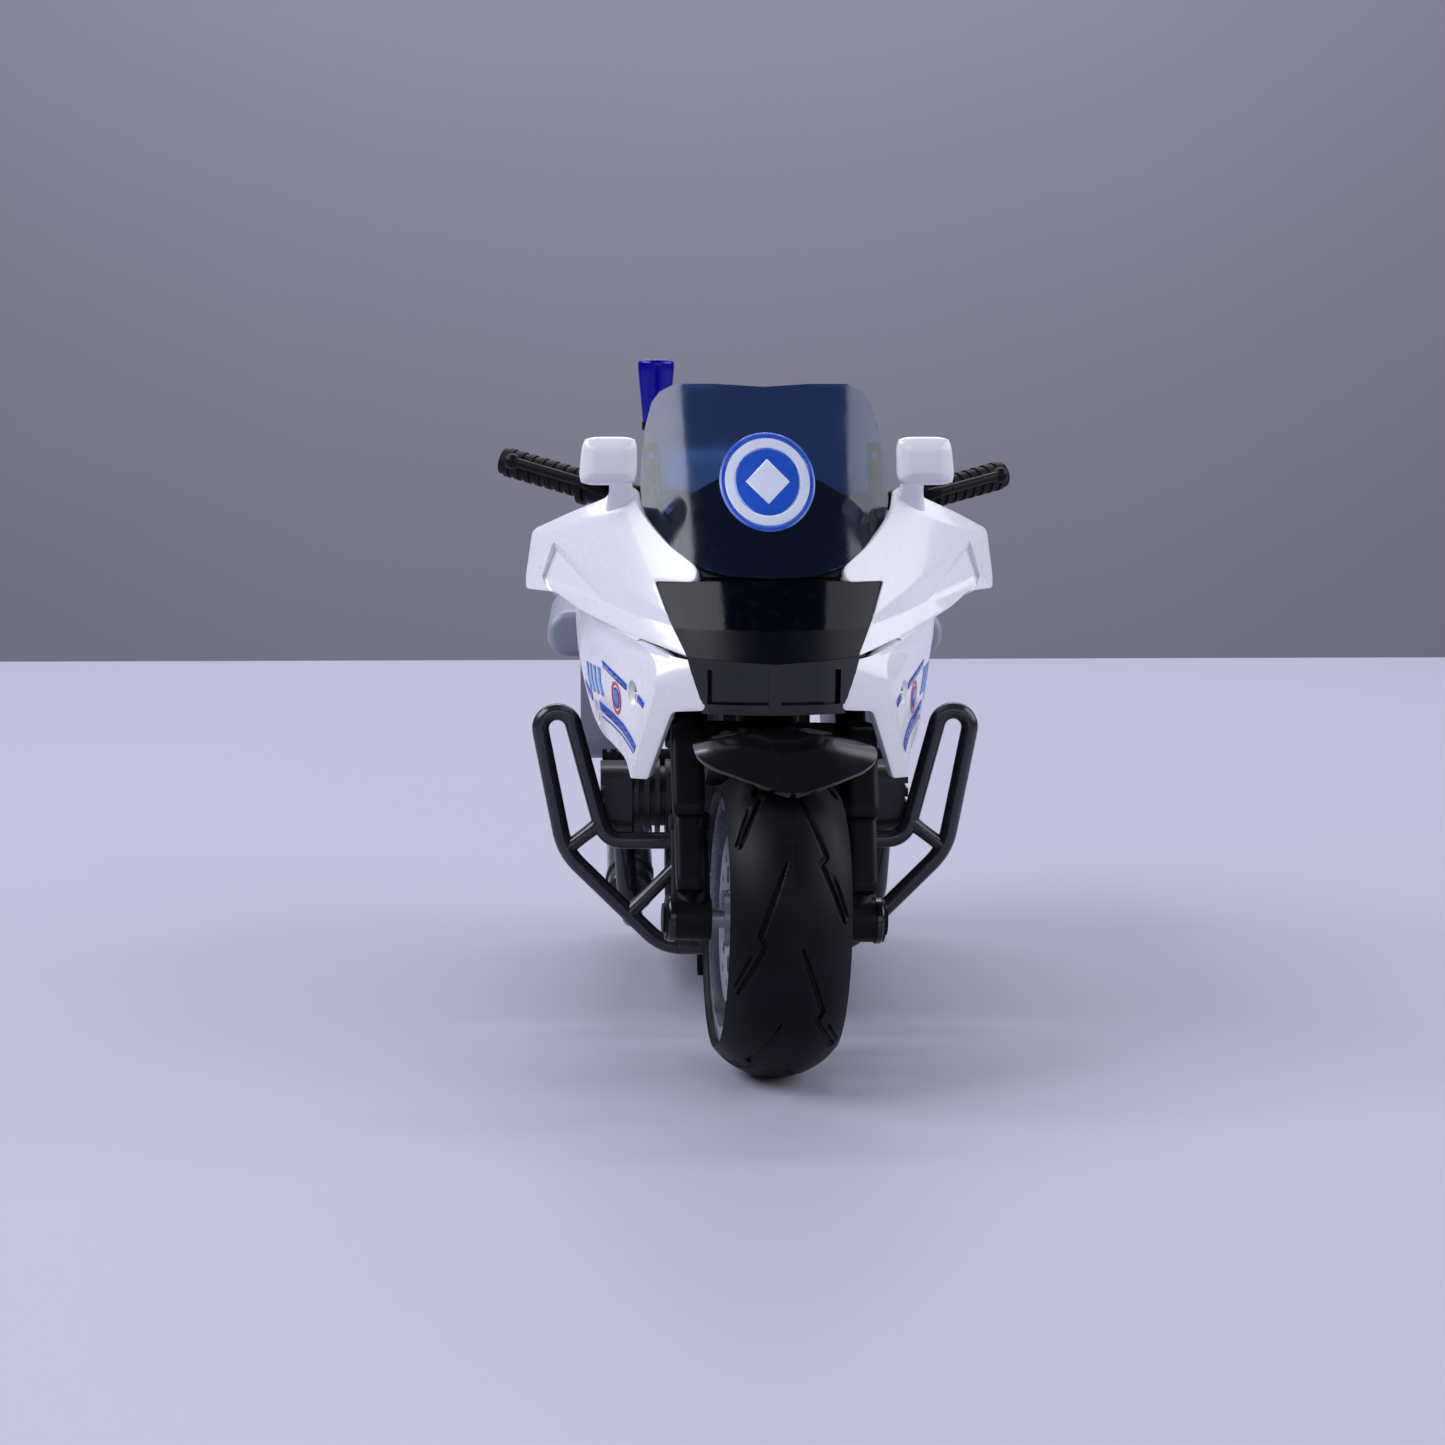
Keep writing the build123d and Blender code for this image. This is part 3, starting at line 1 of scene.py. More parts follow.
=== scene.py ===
"""Looks of the toy police touring motorcycle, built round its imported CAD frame.

Lengths inside the geometry code are millimetres in the CAD frame; meshes are written in metres.
"""

from __future__ import annotations

import json
import logging
import math
from dataclasses import dataclass, field
from enum import Enum
from typing import Callable, Sequence

import bpy
import numpy as np
from mathutils import Matrix, Vector
from mathutils.geometry import delaunay_2d_cdt

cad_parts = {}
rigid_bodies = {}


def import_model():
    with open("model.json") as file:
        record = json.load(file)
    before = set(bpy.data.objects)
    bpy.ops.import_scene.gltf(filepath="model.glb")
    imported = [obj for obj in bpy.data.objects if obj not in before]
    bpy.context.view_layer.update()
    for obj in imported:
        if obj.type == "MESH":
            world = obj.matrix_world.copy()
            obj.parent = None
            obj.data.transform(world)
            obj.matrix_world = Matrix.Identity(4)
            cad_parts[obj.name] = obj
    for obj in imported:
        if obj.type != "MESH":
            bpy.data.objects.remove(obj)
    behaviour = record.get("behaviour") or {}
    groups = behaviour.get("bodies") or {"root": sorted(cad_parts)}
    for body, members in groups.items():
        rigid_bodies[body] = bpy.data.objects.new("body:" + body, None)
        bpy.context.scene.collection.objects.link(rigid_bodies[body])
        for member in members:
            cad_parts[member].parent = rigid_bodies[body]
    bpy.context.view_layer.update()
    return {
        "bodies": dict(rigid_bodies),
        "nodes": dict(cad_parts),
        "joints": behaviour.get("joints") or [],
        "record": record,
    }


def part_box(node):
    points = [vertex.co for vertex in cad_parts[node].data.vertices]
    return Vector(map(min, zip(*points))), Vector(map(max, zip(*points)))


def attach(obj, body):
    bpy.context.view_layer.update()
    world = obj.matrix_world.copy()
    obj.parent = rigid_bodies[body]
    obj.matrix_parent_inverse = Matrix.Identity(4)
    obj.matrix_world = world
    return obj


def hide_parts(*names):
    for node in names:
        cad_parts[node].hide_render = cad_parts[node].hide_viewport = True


LOG = logging.getLogger("toy_motorcycle")
MM = 0.001
Array = np.ndarray


class Side(Enum):
    """A side of the toy, as the sign of X."""

    LEFT = 1
    RIGHT = -1

    @property
    def word(self) -> str:
        """The name used in node names."""
        return "left" if self is Side.LEFT else "right"

    def turn(self, surface: "Surface") -> "Surface":
        """A left-hand surface as this side has it."""
        return surface if self is Side.LEFT else surface.mirrored()


class Body(Enum):
    """CAD bodies that new pieces ride on."""

    CHASSIS = "chassis"
    STEERING = "steering"
    FRONT_WHEEL = "front_wheel"
    REAR_WHEEL = "rear_wheel"


# ---------------------------------------------------------------------------------------------
# shader graph
# ---------------------------------------------------------------------------------------------
class Val:
    """A node socket with arithmetic, so that shader maths reads as maths."""

    def __init__(self, graph: "Graph", socket: bpy.types.NodeSocket) -> None:
        self.graph = graph
        self.socket = socket

    def _math(self, op: str, *others: "Val | float") -> "Val":
        node = self.graph.new("ShaderNodeMath")
        node.operation = op
        for index, value in enumerate((self, *others)):
            self.graph.feed(node.inputs[index], value)
        return Val(self.graph, node.outputs[0])

    def __add__(self, other: "Val | float") -> "Val":
        return self._math("ADD", other)

    __radd__ = __add__

    def __sub__(self, other: "Val | float") -> "Val":
        return self._math("SUBTRACT", other)

    def __mul__(self, other: "Val | float") -> "Val":
        return self._math("MULTIPLY", other)

    __rmul__ = __mul__

    def maximum(self, other: "Val | float") -> "Val":
        """The larger of two values."""
        return self._math("MAXIMUM", other)

    def step(self, low: float, high: float, out_low: float = 0.0, out_high: float = 1.0) -> "Val":
        """Smooth step from out_low at low to out_high at high."""
        node = self.graph.new("ShaderNodeMapRange")
        node.interpolation_type = "SMOOTHSTEP"
        self.graph.feed(node.inputs["Value"], self)
        node.inputs["From Min"].default_value = low
        node.inputs["From Max"].default_value = high
        node.inputs["To Min"].default_value = out_low
        node.inputs["To Max"].default_value = out_high
        return Val(self.graph, node.outputs["Result"])


class Graph:
    """A material's node tree with short ways to add what the finishes need."""

    def __init__(self, name: str) -> None:
        self.material = bpy.data.materials.new(name)
        self.material.use_nodes = True
        self.tree = self.material.node_tree
        self.shader = next(n for n in self.tree.nodes if n.type == "BSDF_PRINCIPLED")
        self._coords: Val | None = None
        self._normal: Val | None = None

    def new(self, kind: str) -> bpy.types.Node:
        """Adds a node of the given type."""
        return self.tree.nodes.new(kind)

    def feed(self, socket: bpy.types.NodeSocket, value: "Val | float | Sequence[float]") -> None:
        """Links or sets a socket."""
        if isinstance(value, Val):
            self.tree.links.new(value.socket, socket)
        else:
            socket.default_value = value

    def coords(self) -> Val:
        """Object coordinates, in metres."""
        if self._coords is None:
            self._coords = Val(self, self.new("ShaderNodeTexCoord").outputs["Object"])
        return self._coords

    def axis(self, index: int, of: Val | None = None) -> Val:
        """One component of a vector, object coordinates by default."""
        node = self.new("ShaderNodeSeparateXYZ")
        self.feed(node.inputs[0], of or self.coords())
        return Val(self, node.outputs[index])

    def up(self) -> Val:
        """How far the surface faces upwards, from -1 to 1."""
        if self._normal is None:
            self._normal = self.axis(2, Val(self, self.new("ShaderNodeNewGeometry").outputs["Normal"]))
        return self._normal

    def noise(self, size_mm: float, detail: float = 3.0, rough: float = 0.55,
              stretch: Sequence[float] = (1, 1, 1), seed: float = 0.0) -> Val:
        """Fractal noise whose features are about size_mm across."""
        mapping = self.new("ShaderNodeMapping")
        self.feed(mapping.inputs["Vector"], self.coords())
        mapping.inputs["Scale"].default_value = tuple(stretch)
        mapping.inputs["Location"].default_value = (seed, seed * 0.7, seed * 1.3)
        node = self.new("ShaderNodeTexNoise")
        self.feed(node.inputs["Vector"], Val(self, mapping.outputs[0]))
        node.inputs["Scale"].default_value = 1.0 / (size_mm * MM)
        node.inputs["Detail"].default_value = detail
        node.inputs["Roughness"].default_value = rough
        return Val(self, node.outputs["Fac"])

    def cells(self, size_mm: float) -> Val:
        """Distance to scattered points size_mm apart."""
        node = self.new("ShaderNodeTexVoronoi")
        self.feed(node.inputs["Vector"], self.coords())
        node.inputs["Scale"].default_value = 1.0 / (size_mm * MM)
        return Val(self, node.outputs["Distance"])

    def mix(self, fac: Val | float, a: "Val | Sequence[float]", b: "Val | Sequence[float]") -> Val:
        """Mixes two colours."""
        node = self.new("ShaderNodeMix")
        node.data_type = "RGBA"
        self.feed(node.inputs["Factor"], fac)
        self.feed(node.inputs[6], a if isinstance(a, Val) else (*a, 1.0))
        self.feed(node.inputs[7], b if isinstance(b, Val) else (*b, 1.0))
        return Val(self, node.outputs[2])

    def bump(self, height: Val, depth_mm: float, strength: float = 1.0) -> None:
        """Gives the shader a bumped normal."""
        node = self.new("ShaderNodeBump")
        node.inputs["Strength"].default_value = strength
        node.inputs["Distance"].default_value = depth_mm * MM
        self.feed(node.inputs["Height"], height)
        self.feed(self.shader.inputs["Normal"], Val(self, node.outputs[0]))


Colour = tuple[float, float, float]


FLAKE_MM = 0.22
SPOT_MM = 3.1
LINT_MM = 2.2
SPECK_MM = 2.4
SMUDGE_MM = 5.5
WEAR_MM = 3.0
WAVE_MM = 9.0
SATIN_ROUGHNESS = 0.28


@dataclass(frozen=True)
class Finish:
    """A moulded or metal surface with its handling marks.

    Attributes are linear colours, shares from 0 to 1 and sizes in millimetres.
    """

    name: str
    colour: Colour
    roughness: float
    metallic: float = 0.0
    coat: float = 0.0
    coat_roughness: float = 0.05
    specular: float = 0.5
    transmission: float = 0.0
    ior: float = 1.5
    mottle: float = 0.06
    mottle_mm: float = 14.0
    grain_mm: float = 0.35
    grain_depth_mm: float = 0.004
    smudge: float = 0.10
    scratch: float = 0.06
    dust: float = 0.10
    dust_colour: Colour = (0.42, 0.43, 0.47)
    dark_spots: float = 0.0
    flake: float = 0.0
    emission: float = 0.0
    satin_below_mm: float = -1.0

    def build(self) -> bpy.types.Material:
        """Makes the material.

        Returns:
            The new Blender material.
        """
        g = Graph(self.name)
        set_ = g.shader.inputs
        mottle = g.noise(self.mottle_mm, 4.0, 0.6, seed=0.3)
        fine = g.noise(self.mottle_mm * 0.12, 3.0, 0.5, seed=1.1)
        light = tuple(min(1.0, c * (1 + self.mottle)) for c in self.colour)
        dark = tuple(c * (1 - self.mottle) for c in self.colour)
        colour = g.mix(mottle.step(0.3, 0.7), dark, light)
        colour = g.mix(fine.step(0.55, 0.8, 0.0, 0.35), colour, dark)
        if self.flake > 0:
            spark = g.cells(FLAKE_MM).step(0.0, 0.35, 1.0, 0.0) * self.flake
            bright = tuple(min(1.0, c * 2.6 + 0.05) for c in self.colour)
            colour = g.mix(spark, colour, bright)
        if self.dark_spots > 0:
            spots = g.cells(SPOT_MM).step(0.02, 0.06, 1.0, 0.0) * self.dark_spots
            colour = g.mix(spots, colour, tuple(c * 0.35 for c in self.colour))
        if self.dust > 0:
            lint = g.noise(LINT_MM, 5.0, 0.7, seed=2.7).step(0.46, 0.78)
            settle = g.up().step(0.1, 0.95) * lint * self.dust
            specks = g.cells(SPECK_MM).step(0.015, 0.05, 1.0, 0.0) * (self.dust * 0.9)
            colour = g.mix(settle.maximum(specks), colour, self.dust_colour)
        g.feed(set_["Base Color"], colour)
        smudge = g.noise(SMUDGE_MM, 4.0, 0.62, seed=4.2).step(0.35, 0.75) * self.smudge
        hair = g.noise(0.5, 2.0, 0.5, (1.0, 0.06, 0.5), 5.0).step(0.62, 0.7) * self.scratch
        cross = g.noise(0.6, 2.0, 0.5, (0.08, 1.0, 0.7), 6.0).step(0.63, 0.7) * self.scratch
        rough = smudge + hair + cross + self.roughness
        if self.satin_below_mm > 0:
            low = self.satin_below_mm * MM
            rough = rough + g.axis(2).step(low - 0.0002, low + 0.0002, SATIN_ROUGHNESS, 0.0)
        g.feed(set_["Roughness"], rough)
        if self.metallic > 0:
            worn = g.noise(WEAR_MM, 4.0, 0.6, seed=7.0).step(0.3, 0.8, self.metallic, self.metallic * 0.86)
            g.feed(set_["Metallic"], worn)
        grain = g.noise(self.grain_mm, 3.0, 0.55, seed=8.0)
        wave = g.noise(WAVE_MM, 2.0, 0.5, seed=9.0)
        g.bump(grain * self.grain_depth_mm + wave * (self.grain_depth_mm * 6), 1.0, 0.9)
        set_["Coat Weight"].default_value = self.coat
        set_["Coat Roughness"].default_value = self.coat_roughness
        set_["Specular IOR Level"].default_value = self.specular
        set_["Transmission Weight"].default_value = self.transmission
        set_["IOR"].default_value = self.ior
        if self.emission > 0:
            set_["Emission Color"].default_value = (*self.colour, 1.0)
            set_["Emission Strength"].default_value = self.emission
        return g.material


class Finishes(Enum):
    """Every finish on the toy."""

    WHITE = Finish("white_moulded_gloss", (0.80, 0.81, 0.87), 0.26, coat=0.3, mottle=0.006,
                   smudge=0.01, dust=0.0, dust_colour=(0.6, 0.6, 0.65), grain_depth_mm=0.0003)
    # Painted shade: the panniers are the same white plastic as the fairing, given this much darker copy of the white
    # so that they look as shaded as where they sit, back under the bars.
    WHITE_BOX = Finish("white_satin_painted_shade", (0.28, 0.295, 0.39), 0.36, mottle=0.02, smudge=0.03,
                       dust=0.02, grain_depth_mm=0.0006)
    BLACK = Finish("black_moulded_satin", (0.0030, 0.0032, 0.0050), 0.42, specular=0.16, mottle=0.25, dust=0.01)
    BLACK_GLOSS = Finish("black_moulded_gloss", (0.0030, 0.0030, 0.0055), 0.17, specular=0.5,
                         mottle=0.1, dust=0.0, smudge=0.02, grain_depth_mm=0.0014)
    GUNMETAL = Finish("gunmetal_moulded", (0.030, 0.030, 0.042), 0.20, metallic=0.5, coat=0.2,
                      mottle=0.12, flake=0.3, dust=0.05)
    ENGINE = Finish("engine_grey_moulded", (0.028, 0.030, 0.036), 0.42, metallic=0.3, mottle=0.15,
                    flake=0.2, dust=0.10)
    RUBBER = Finish("tyre_rubber", (0.0050, 0.0050, 0.0075), 0.42, mottle=0.3, mottle_mm=8.0,
                    grain_mm=0.5, grain_depth_mm=0.004, dust=0.02, specular=0.1,
                    dust_colour=(0.16, 0.16, 0.19))
    GRIP = Finish("grip_rubber", (0.0045, 0.0045, 0.0065), 0.55, mottle=0.3, specular=0.2, grain_depth_mm=0.01,
                  dust=0.03)
    SEAT = Finish("seat_grained", (0.013, 0.013, 0.016), 0.55, mottle=0.15, grain_mm=0.7,
                  grain_depth_mm=0.05, dust=0.03)
    RIM = Finish("metallised_rim", (0.36, 0.38, 0.45), 0.22, metallic=0.9, mottle=0.05, dust=0.02)
    STEEL = Finish("brushed_steel", (0.42, 0.42, 0.45), 0.30, metallic=1.0, scratch=0.2, dust=0.05)
    CHROME = Finish("chrome_screw", (0.80, 0.78, 0.75), 0.12, metallic=1.0, mottle=0.1, dust=0.05)
    MIRROR = Finish("mirror_foil", (0.75, 0.78, 0.82), 0.06, metallic=1.0, mottle=0.03, dust=0.05)
    SMOKED = Finish("smoked_screen", (0.05, 0.105, 0.27), 0.085, transmission=0.95,
                    ior=1.36, mottle=0.03, dust=0.0, smudge=0.05, scratch=0.03,
                    grain_depth_mm=0.0008)
    LENS = Finish("smoked_lens", (0.0010, 0.0012, 0.0050), 0.08, specular=0.12, mottle=0.2, dust=0.02,
                  smudge=0.04, grain_depth_mm=0.0008, satin_below_mm=71.6)
    REFLECTOR = Finish("metallised_bowl", (0.6, 0.6, 0.63), 0.15, metallic=1.0)
    LAMP_BLUE = Finish("blue_lamp", (0.0005, 0.002, 0.42), 0.12, transmission=0.6, specular=0.3,
                       ior=1.4, mottle=0.05, dust=0.01, emission=0.03)
    LAMP_RED = Finish("red_lamp", (0.55, 0.012, 0.012), 0.12, coat=0.4, transmission=0.4,
                      mottle=0.05, dust=0.04)
    GEAR = Finish("gear_acetal", (0.62, 0.61, 0.55), 0.38, mottle=0.06)
    SPRING = Finish("blued_spring", (0.10, 0.11, 0.17), 0.25, metallic=1.0)
    PRINT_BLUE = Finish("print_blue", (0.010, 0.075, 0.50), 0.24, coat=0.4, mottle=0.08,
                        dust=0.03, dark_spots=0.2)
    PRINT_PALE = Finish("print_white", (0.62, 0.68, 0.84), 0.24, coat=0.4, mottle=0.04, dust=0.03)
    PRINT_SKY = Finish("print_sky", (0.10, 0.30, 0.78), 0.24, coat=0.4, mottle=0.06, dust=0.03)
    PRINT_RED = Finish("print_red", (0.62, 0.055, 0.035), 0.26, coat=0.4, mottle=0.06, dust=0.03)


_MATERIALS: dict[Finishes, bpy.types.Material] = {}


def material(finish: Finishes) -> bpy.types.Material:
    """The Blender material of a finish, made once."""
    if finish not in _MATERIALS:
        _MATERIALS[finish] = finish.value.build()
    return _MATERIALS[finish]


# ---------------------------------------------------------------------------------------------
# numpy geometry
# ---------------------------------------------------------------------------------------------
def natural_spline(knots: Array, values: Array) -> Callable[[Array], Array]:
    """Natural cubic through (knots, values), running on straight beyond its ends.

    Args:
        knots: rising positions.
        values: value at each.

    Returns:
        A function of an array of positions.
    """
    k = np.asarray(knots, float)
    v = np.asarray(values, float)
    h = np.diff(k)
    a = np.diag(np.r_[1.0, 2 * (h[:-1] + h[1:]), 1.0])
    inner = np.arange(1, len(k) - 1)
    a[inner, inner - 1] = h[:-1]
    a[inner, inner + 1] = h[1:]
    slope = np.diff(v) / h
    m = np.linalg.solve(a, np.r_[0.0, 6 * np.diff(slope), 0.0])

    def at(x: Array) -> Array:
        x = np.asarray(x, float)
        i = np.clip(np.searchsorted(k, x) - 1, 0, len(h) - 1)
        c = np.clip(x, k[0], k[-1])
        t0, t1 = k[i + 1] - c, c - k[i]
        s = (m[i] * t0**3 + m[i + 1] * t1**3) / (6 * h[i])
        s = s + (v[i] / h[i] - m[i] * h[i] / 6) * t0 + (v[i + 1] / h[i] - m[i + 1] * h[i] / 6) * t1
        first = slope[0] - h[0] * m[1] / 6
        last = slope[-1] + h[-1] * m[-2] / 6
        return s + np.minimum(x - k[0], 0) * first + np.maximum(x - k[-1], 0) * last

    return at


def resample(points: Array, spacing: float, closed: bool = False) -> Array:
    """Points at even spacing along a polyline, its own corners kept."""
    p = np.asarray(points, float)
    ring = np.vstack([p, p[:1]]) if closed else p
    parts = []
    for a, b in zip(ring[:-1], ring[1:]):
        n = max(1, int(round(np.linalg.norm(b - a) / spacing)))
        t = np.arange(n)[:, None] / n
        parts.append(a + (b - a) * t)
    if not closed:
        parts.append(ring[-1:])
    return np.vstack(parts)


def rounded(points: Sequence[Sequence[float]], radii: Sequence[float] | float, steps: int = 6,
            closed: bool = True) -> Array:
    """A polyline with its corners rounded by quadratic curves.

    Args:
        points: corners.
        radii: how far each rounding reaches along its sides.
        steps: segments in each corner.
        closed: whether the last corner joins the first.

    Returns:
        The rounded points.
    """
    p = np.asarray(points, float)
    r = np.full(len(p), float(radii)) if np.isscalar(radii) else np.asarray(radii, float)
    out = []
    for i in range(len(p)):
        if not closed and i in (0, len(p) - 1):
            out.append(p[i : i + 1])
            continue
        a, b, c = p[i - 1], p[i], p[(i + 1) % len(p)]
        la, lc = np.linalg.norm(a - b), np.linalg.norm(c - b)
        d = min(r[i], la * 0.49, lc * 0.49)
        if d < 1e-3:
            out.append(b[None])
            continue
        p0, p1 = b + (a - b) * d / la, b + (c - b) * d / lc
        t = np.linspace(0, 1, steps + 1)[:, None]
        out.append((1 - t) ** 2 * p0 + 2 * t * (1 - t) * b + t**2 * p1)
    return np.vstack(out)


def even_path(path: Array, count: int) -> Array:
    """A polyline's points, moved to even steps along it."""
    legs = np.r_[0, np.cumsum(np.linalg.norm(np.diff(path, axis=0), axis=1))]
    s = np.linspace(0, legs[-1], count)
    return np.stack([np.interp(s, legs, path[:, i]) for i in range(path.shape[1])], 1)


def inside(points: Array, polygon: Array) -> Array:
    """Which points lie inside a closed polygon, by crossing count."""
    x, y = points[:, 0][:, None], points[:, 1][:, None]
    x0, y0 = polygon[:, 0][None], polygon[:, 1][None]
    x1, y1 = np.roll(polygon[:, 0], -1)[None], np.roll(polygon[:, 1], -1)[None]
    span = (y0 > y) != (y1 > y)
    cut = (x1 - x0) * (y - y0) / np.where(y1 == y0, 1e-12, y1 - y0) + x0
    return (span & (x < cut)).sum(1) % 2 == 1


def line_distance(points: Array, line: Array, closed: bool = False) -> Array:
    """Distance of each point to a polyline: the least distance to any of its straight parts."""
    ring = np.vstack([line, line[:1]]) if closed else np.asarray(line, float)
    a, b = ring[:-1][None], ring[1:][None]
    p = points[:, None]
    d = b - a
    t = np.clip(((p - a) * d).sum(2) / np.maximum((d * d).sum(2), 1e-12), 0, 1)
    return np.linalg.norm(p - (a + d * t[..., None]), axis=2).min(1)


def grid_quads(rows: int, columns: int, wrap_rows: bool = False, wrap_columns: bool = False) -> Array:
    """Quad indices of a rows by columns grid of vertices."""
    i = np.arange(rows if wrap_rows else rows - 1)
    j = np.arange(columns if wrap_columns else columns - 1)
    i, j = np.meshgrid(i, j, indexing="ij")
    i1, j1 = (i + 1) % rows, (j + 1) % columns
    return np.stack([i * columns + j, i * columns + j1, i1 * columns + j1, i1 * columns + j], -1).reshape(-1, 4)


@dataclass
class Surface:
    """Vertices in millimetres and faces of one kind, with parts that can be joined."""

    points: Array
    faces: list[Array] = field(default_factory=list)

    def __add__(self, other: "Surface") -> "Surface":
        shift = len(self.points)
        return Surface(np.vstack([self.points, other.points]), self.faces + [f + shift for f in other.faces])

    def mirrored(self) -> "Surface":
        """The surface on the other side of the toy."""
        return Surface(self.points * (-1, 1, 1), [f[:, ::-1] for f in self.faces])

    def moved(self, change: Callable[[Array], Array]) -> "Surface":
        """The surface with its points passed through a function."""
        return Surface(change(self.points), self.faces)

    def turned_outward(self, toward: Sequence[float]) -> "Surface":
        """Flips the faces if, on average, they look away from a direction."""
        f = self.faces[0]
        a, b, c = self.points[f[:, 0]], self.points[f[:, 1]], self.points[f[:, 2]]
        total = np.cross(b - a, c - a).sum(0)
        if total @ np.asarray(toward, float) < 0:
            return Surface(self.points, [g[:, ::-1] for g in self.faces])
        return self


def planar_mesh(outline: Array, spacing: float, features: Sequence[Array] = (),
                holes: Sequence[Array] = ()) -> tuple[Array, Array]:
    """Triangles of a flat region that follow its outline and feature lines.

    Args:
        outline: closed boundary.
        spacing: wanted edge length.
        features: open lines that mesh edges follow.
        holes: closed boundaries left empty.

    Returns:
        The vertices and triangles.
    """
    edge = resample(outline, spacing, closed=True)
    lines = [(edge, True)] + [(resample(h, spacing * 0.7, True), True) for h in holes]
    lines += [(resample(f, spacing), False) for f in features]
    low, high = edge.min(0), edge.max(0)
    xs = np.arange(low[0], high[0], spacing)
    ys = np.arange(low[1], high[1], spacing * 0.866)
    gx, gy = np.meshgrid(xs, ys)
    gx = gx + (np.arange(len(ys)) % 2)[:, None] * spacing / 2
    cloud = np.c_[gx.ravel(), gy.ravel()]
    keep = inside(cloud, edge)
    for line, closed in lines:
        keep &= line_distance(cloud, line, closed) > spacing * 0.45
    for hole, _ in lines[1 : 1 + len(holes)]:
        keep &= ~inside(cloud, hole)
    points, edges, count = [], [], 0
    for line, closed in lines:
        n = len(line)
        index = np.arange(n) + count
        ends = np.roll(index, -1) if closed else index[1:]
        edges += list(zip(index[: len(ends)].tolist(), ends.tolist()))
        points.append(line)
        count += n
    points.append(cloud[keep])
    flat = np.vstack(points)
    verts, _, tris, *_ = delaunay_2d_cdt(
        [Vector(p) for p in flat.tolist()], edges, [list(range(len(edge)))], 1, 1e-5
    )
    v = np.array([tuple(p) for p in verts], float)
    t = np.array([f for f in tris if len(f) == 3], int)
    centre = v[t].mean(1)
    good = inside(centre, edge)
    for hole, _ in lines[1 : 1 + len(holes)]:
        good &= ~inside(centre, hole)
    return v, t[good]


def tube(path: Array, radius: float | Array, around: int = 20, capped: bool = True) -> Surface:
    """A round tube along a path.

    Args:
        path: centre line points.
        radius: one radius, or one for each point.
        around: vertices round the tube.
        capped: whether domed ends close it.

    Returns:
        The tube's surface.
    """
    r = np.full(len(path), float(radius)) if np.isscalar(radius) else np.asarray(radius, float)
    if capped:
        turn = np.radians([0.0, 30.0, 60.0, 85.0])
        a = path[0] - path[1]
        b = path[-1] - path[-2]
        a, b = a / np.linalg.norm(a), b / np.linalg.norm(b)
        head = path[0] + a * (np.sin(turn[::-1]) * r[0] * 0.5)[:, None]
        tail = path[-1] + b * (np.sin(turn) * r[-1] * 0.5)[:, None]
        r = np.r_[np.cos(turn[::-1]) * r[0], r[1:-1], np.cos(turn) * r[-1]]
        path = np.vstack([head, path[1:-1], tail])
    tangent = np.gradient(path, axis=0)
    tangent /= np.linalg.norm(tangent, axis=1)[:, None]
    reference = np.array([0.0, 1.0, 0.0]) if abs(tangent[:, 1]).max() < 0.9 else np.array([0.0, 0, 1])
    if abs(tangent @ reference).max() > 0.95:
        reference = np.array([1.0, 0, 0])
    side = np.cross(tangent, reference)
    side /= np.linalg.norm(side, axis=1)[:, None]
    other = np.cross(tangent, side)
    angle = np.arange(around) * 2 * np.pi / around
    ring = side[:, None] * np.cos(angle)[None, :, None] + other[:, None] * np.sin(angle)[None, :, None]
    points = path[:, None] + ring * r[:, None, None]
    faces = [grid_quads(len(path), around, wrap_columns=True)]
    if capped:
        n = len(path)
        faces.append(np.arange(around)[None, ::-1])
        faces.append((np.arange(around) + (n - 1) * around)[None])
    return Surface(points.reshape(-1, 3), faces)


def rounded_box(size: Sequence[float], corner: float, power: float = 5.0, steps: int = 22) -> Surface:
    """A box with soft faces and rounded edges, centred on the origin.

    Args:
        size: full lengths along X, Y and Z.
        corner: edge radius.
        power: how square the section is.
        steps: vertices along each face.

    Returns:
        The box's surface.
    """
    t = np.tan(np.linspace(-1, 1, steps) * math.pi / 4)
    u, v = np.meshgrid(t, t, indexing="ij")
    one = np.ones_like(u)
    sides = [(one, u, v), (-one, v, u), (v, one, u), (u, -one, v), (u, v, one), (v, u, -one)]
    half = np.asarray(size, float) / 2
    points, faces = [], []
    for index, parts in enumerate(sides):
        p = np.stack(parts, -1).reshape(-1, 3)
        core = p * (half - corner)
        away = p / (np.abs(p) ** power).sum(1, keepdims=True) ** (1 / power)
        normal = np.sign(p) * np.abs(away) ** (power - 1)
        normal /= np.linalg.norm(normal, axis=1)[:, None]
        points.append(core + normal * corner)
        faces.append(grid_quads(steps, steps) + index * steps * steps)
    return Surface(np.vstack(points), [np.vstack(faces)])


# ---------------------------------------------------------------------------------------------
# pieces
# ---------------------------------------------------------------------------------------------
def grid_surface(x: Array, y: Array, z: Array, wrap_rows: bool = False, wrap_columns: bool = False) -> Surface:
    """The surface through a grid of points, given as X, Y and Z over rows and columns."""
    rows, columns = z.shape
    points = np.stack(np.broadcast_arrays(x, y, z), -1).reshape(-1, 3)
    return Surface(points, [grid_quads(rows, columns, wrap_rows, wrap_columns)])


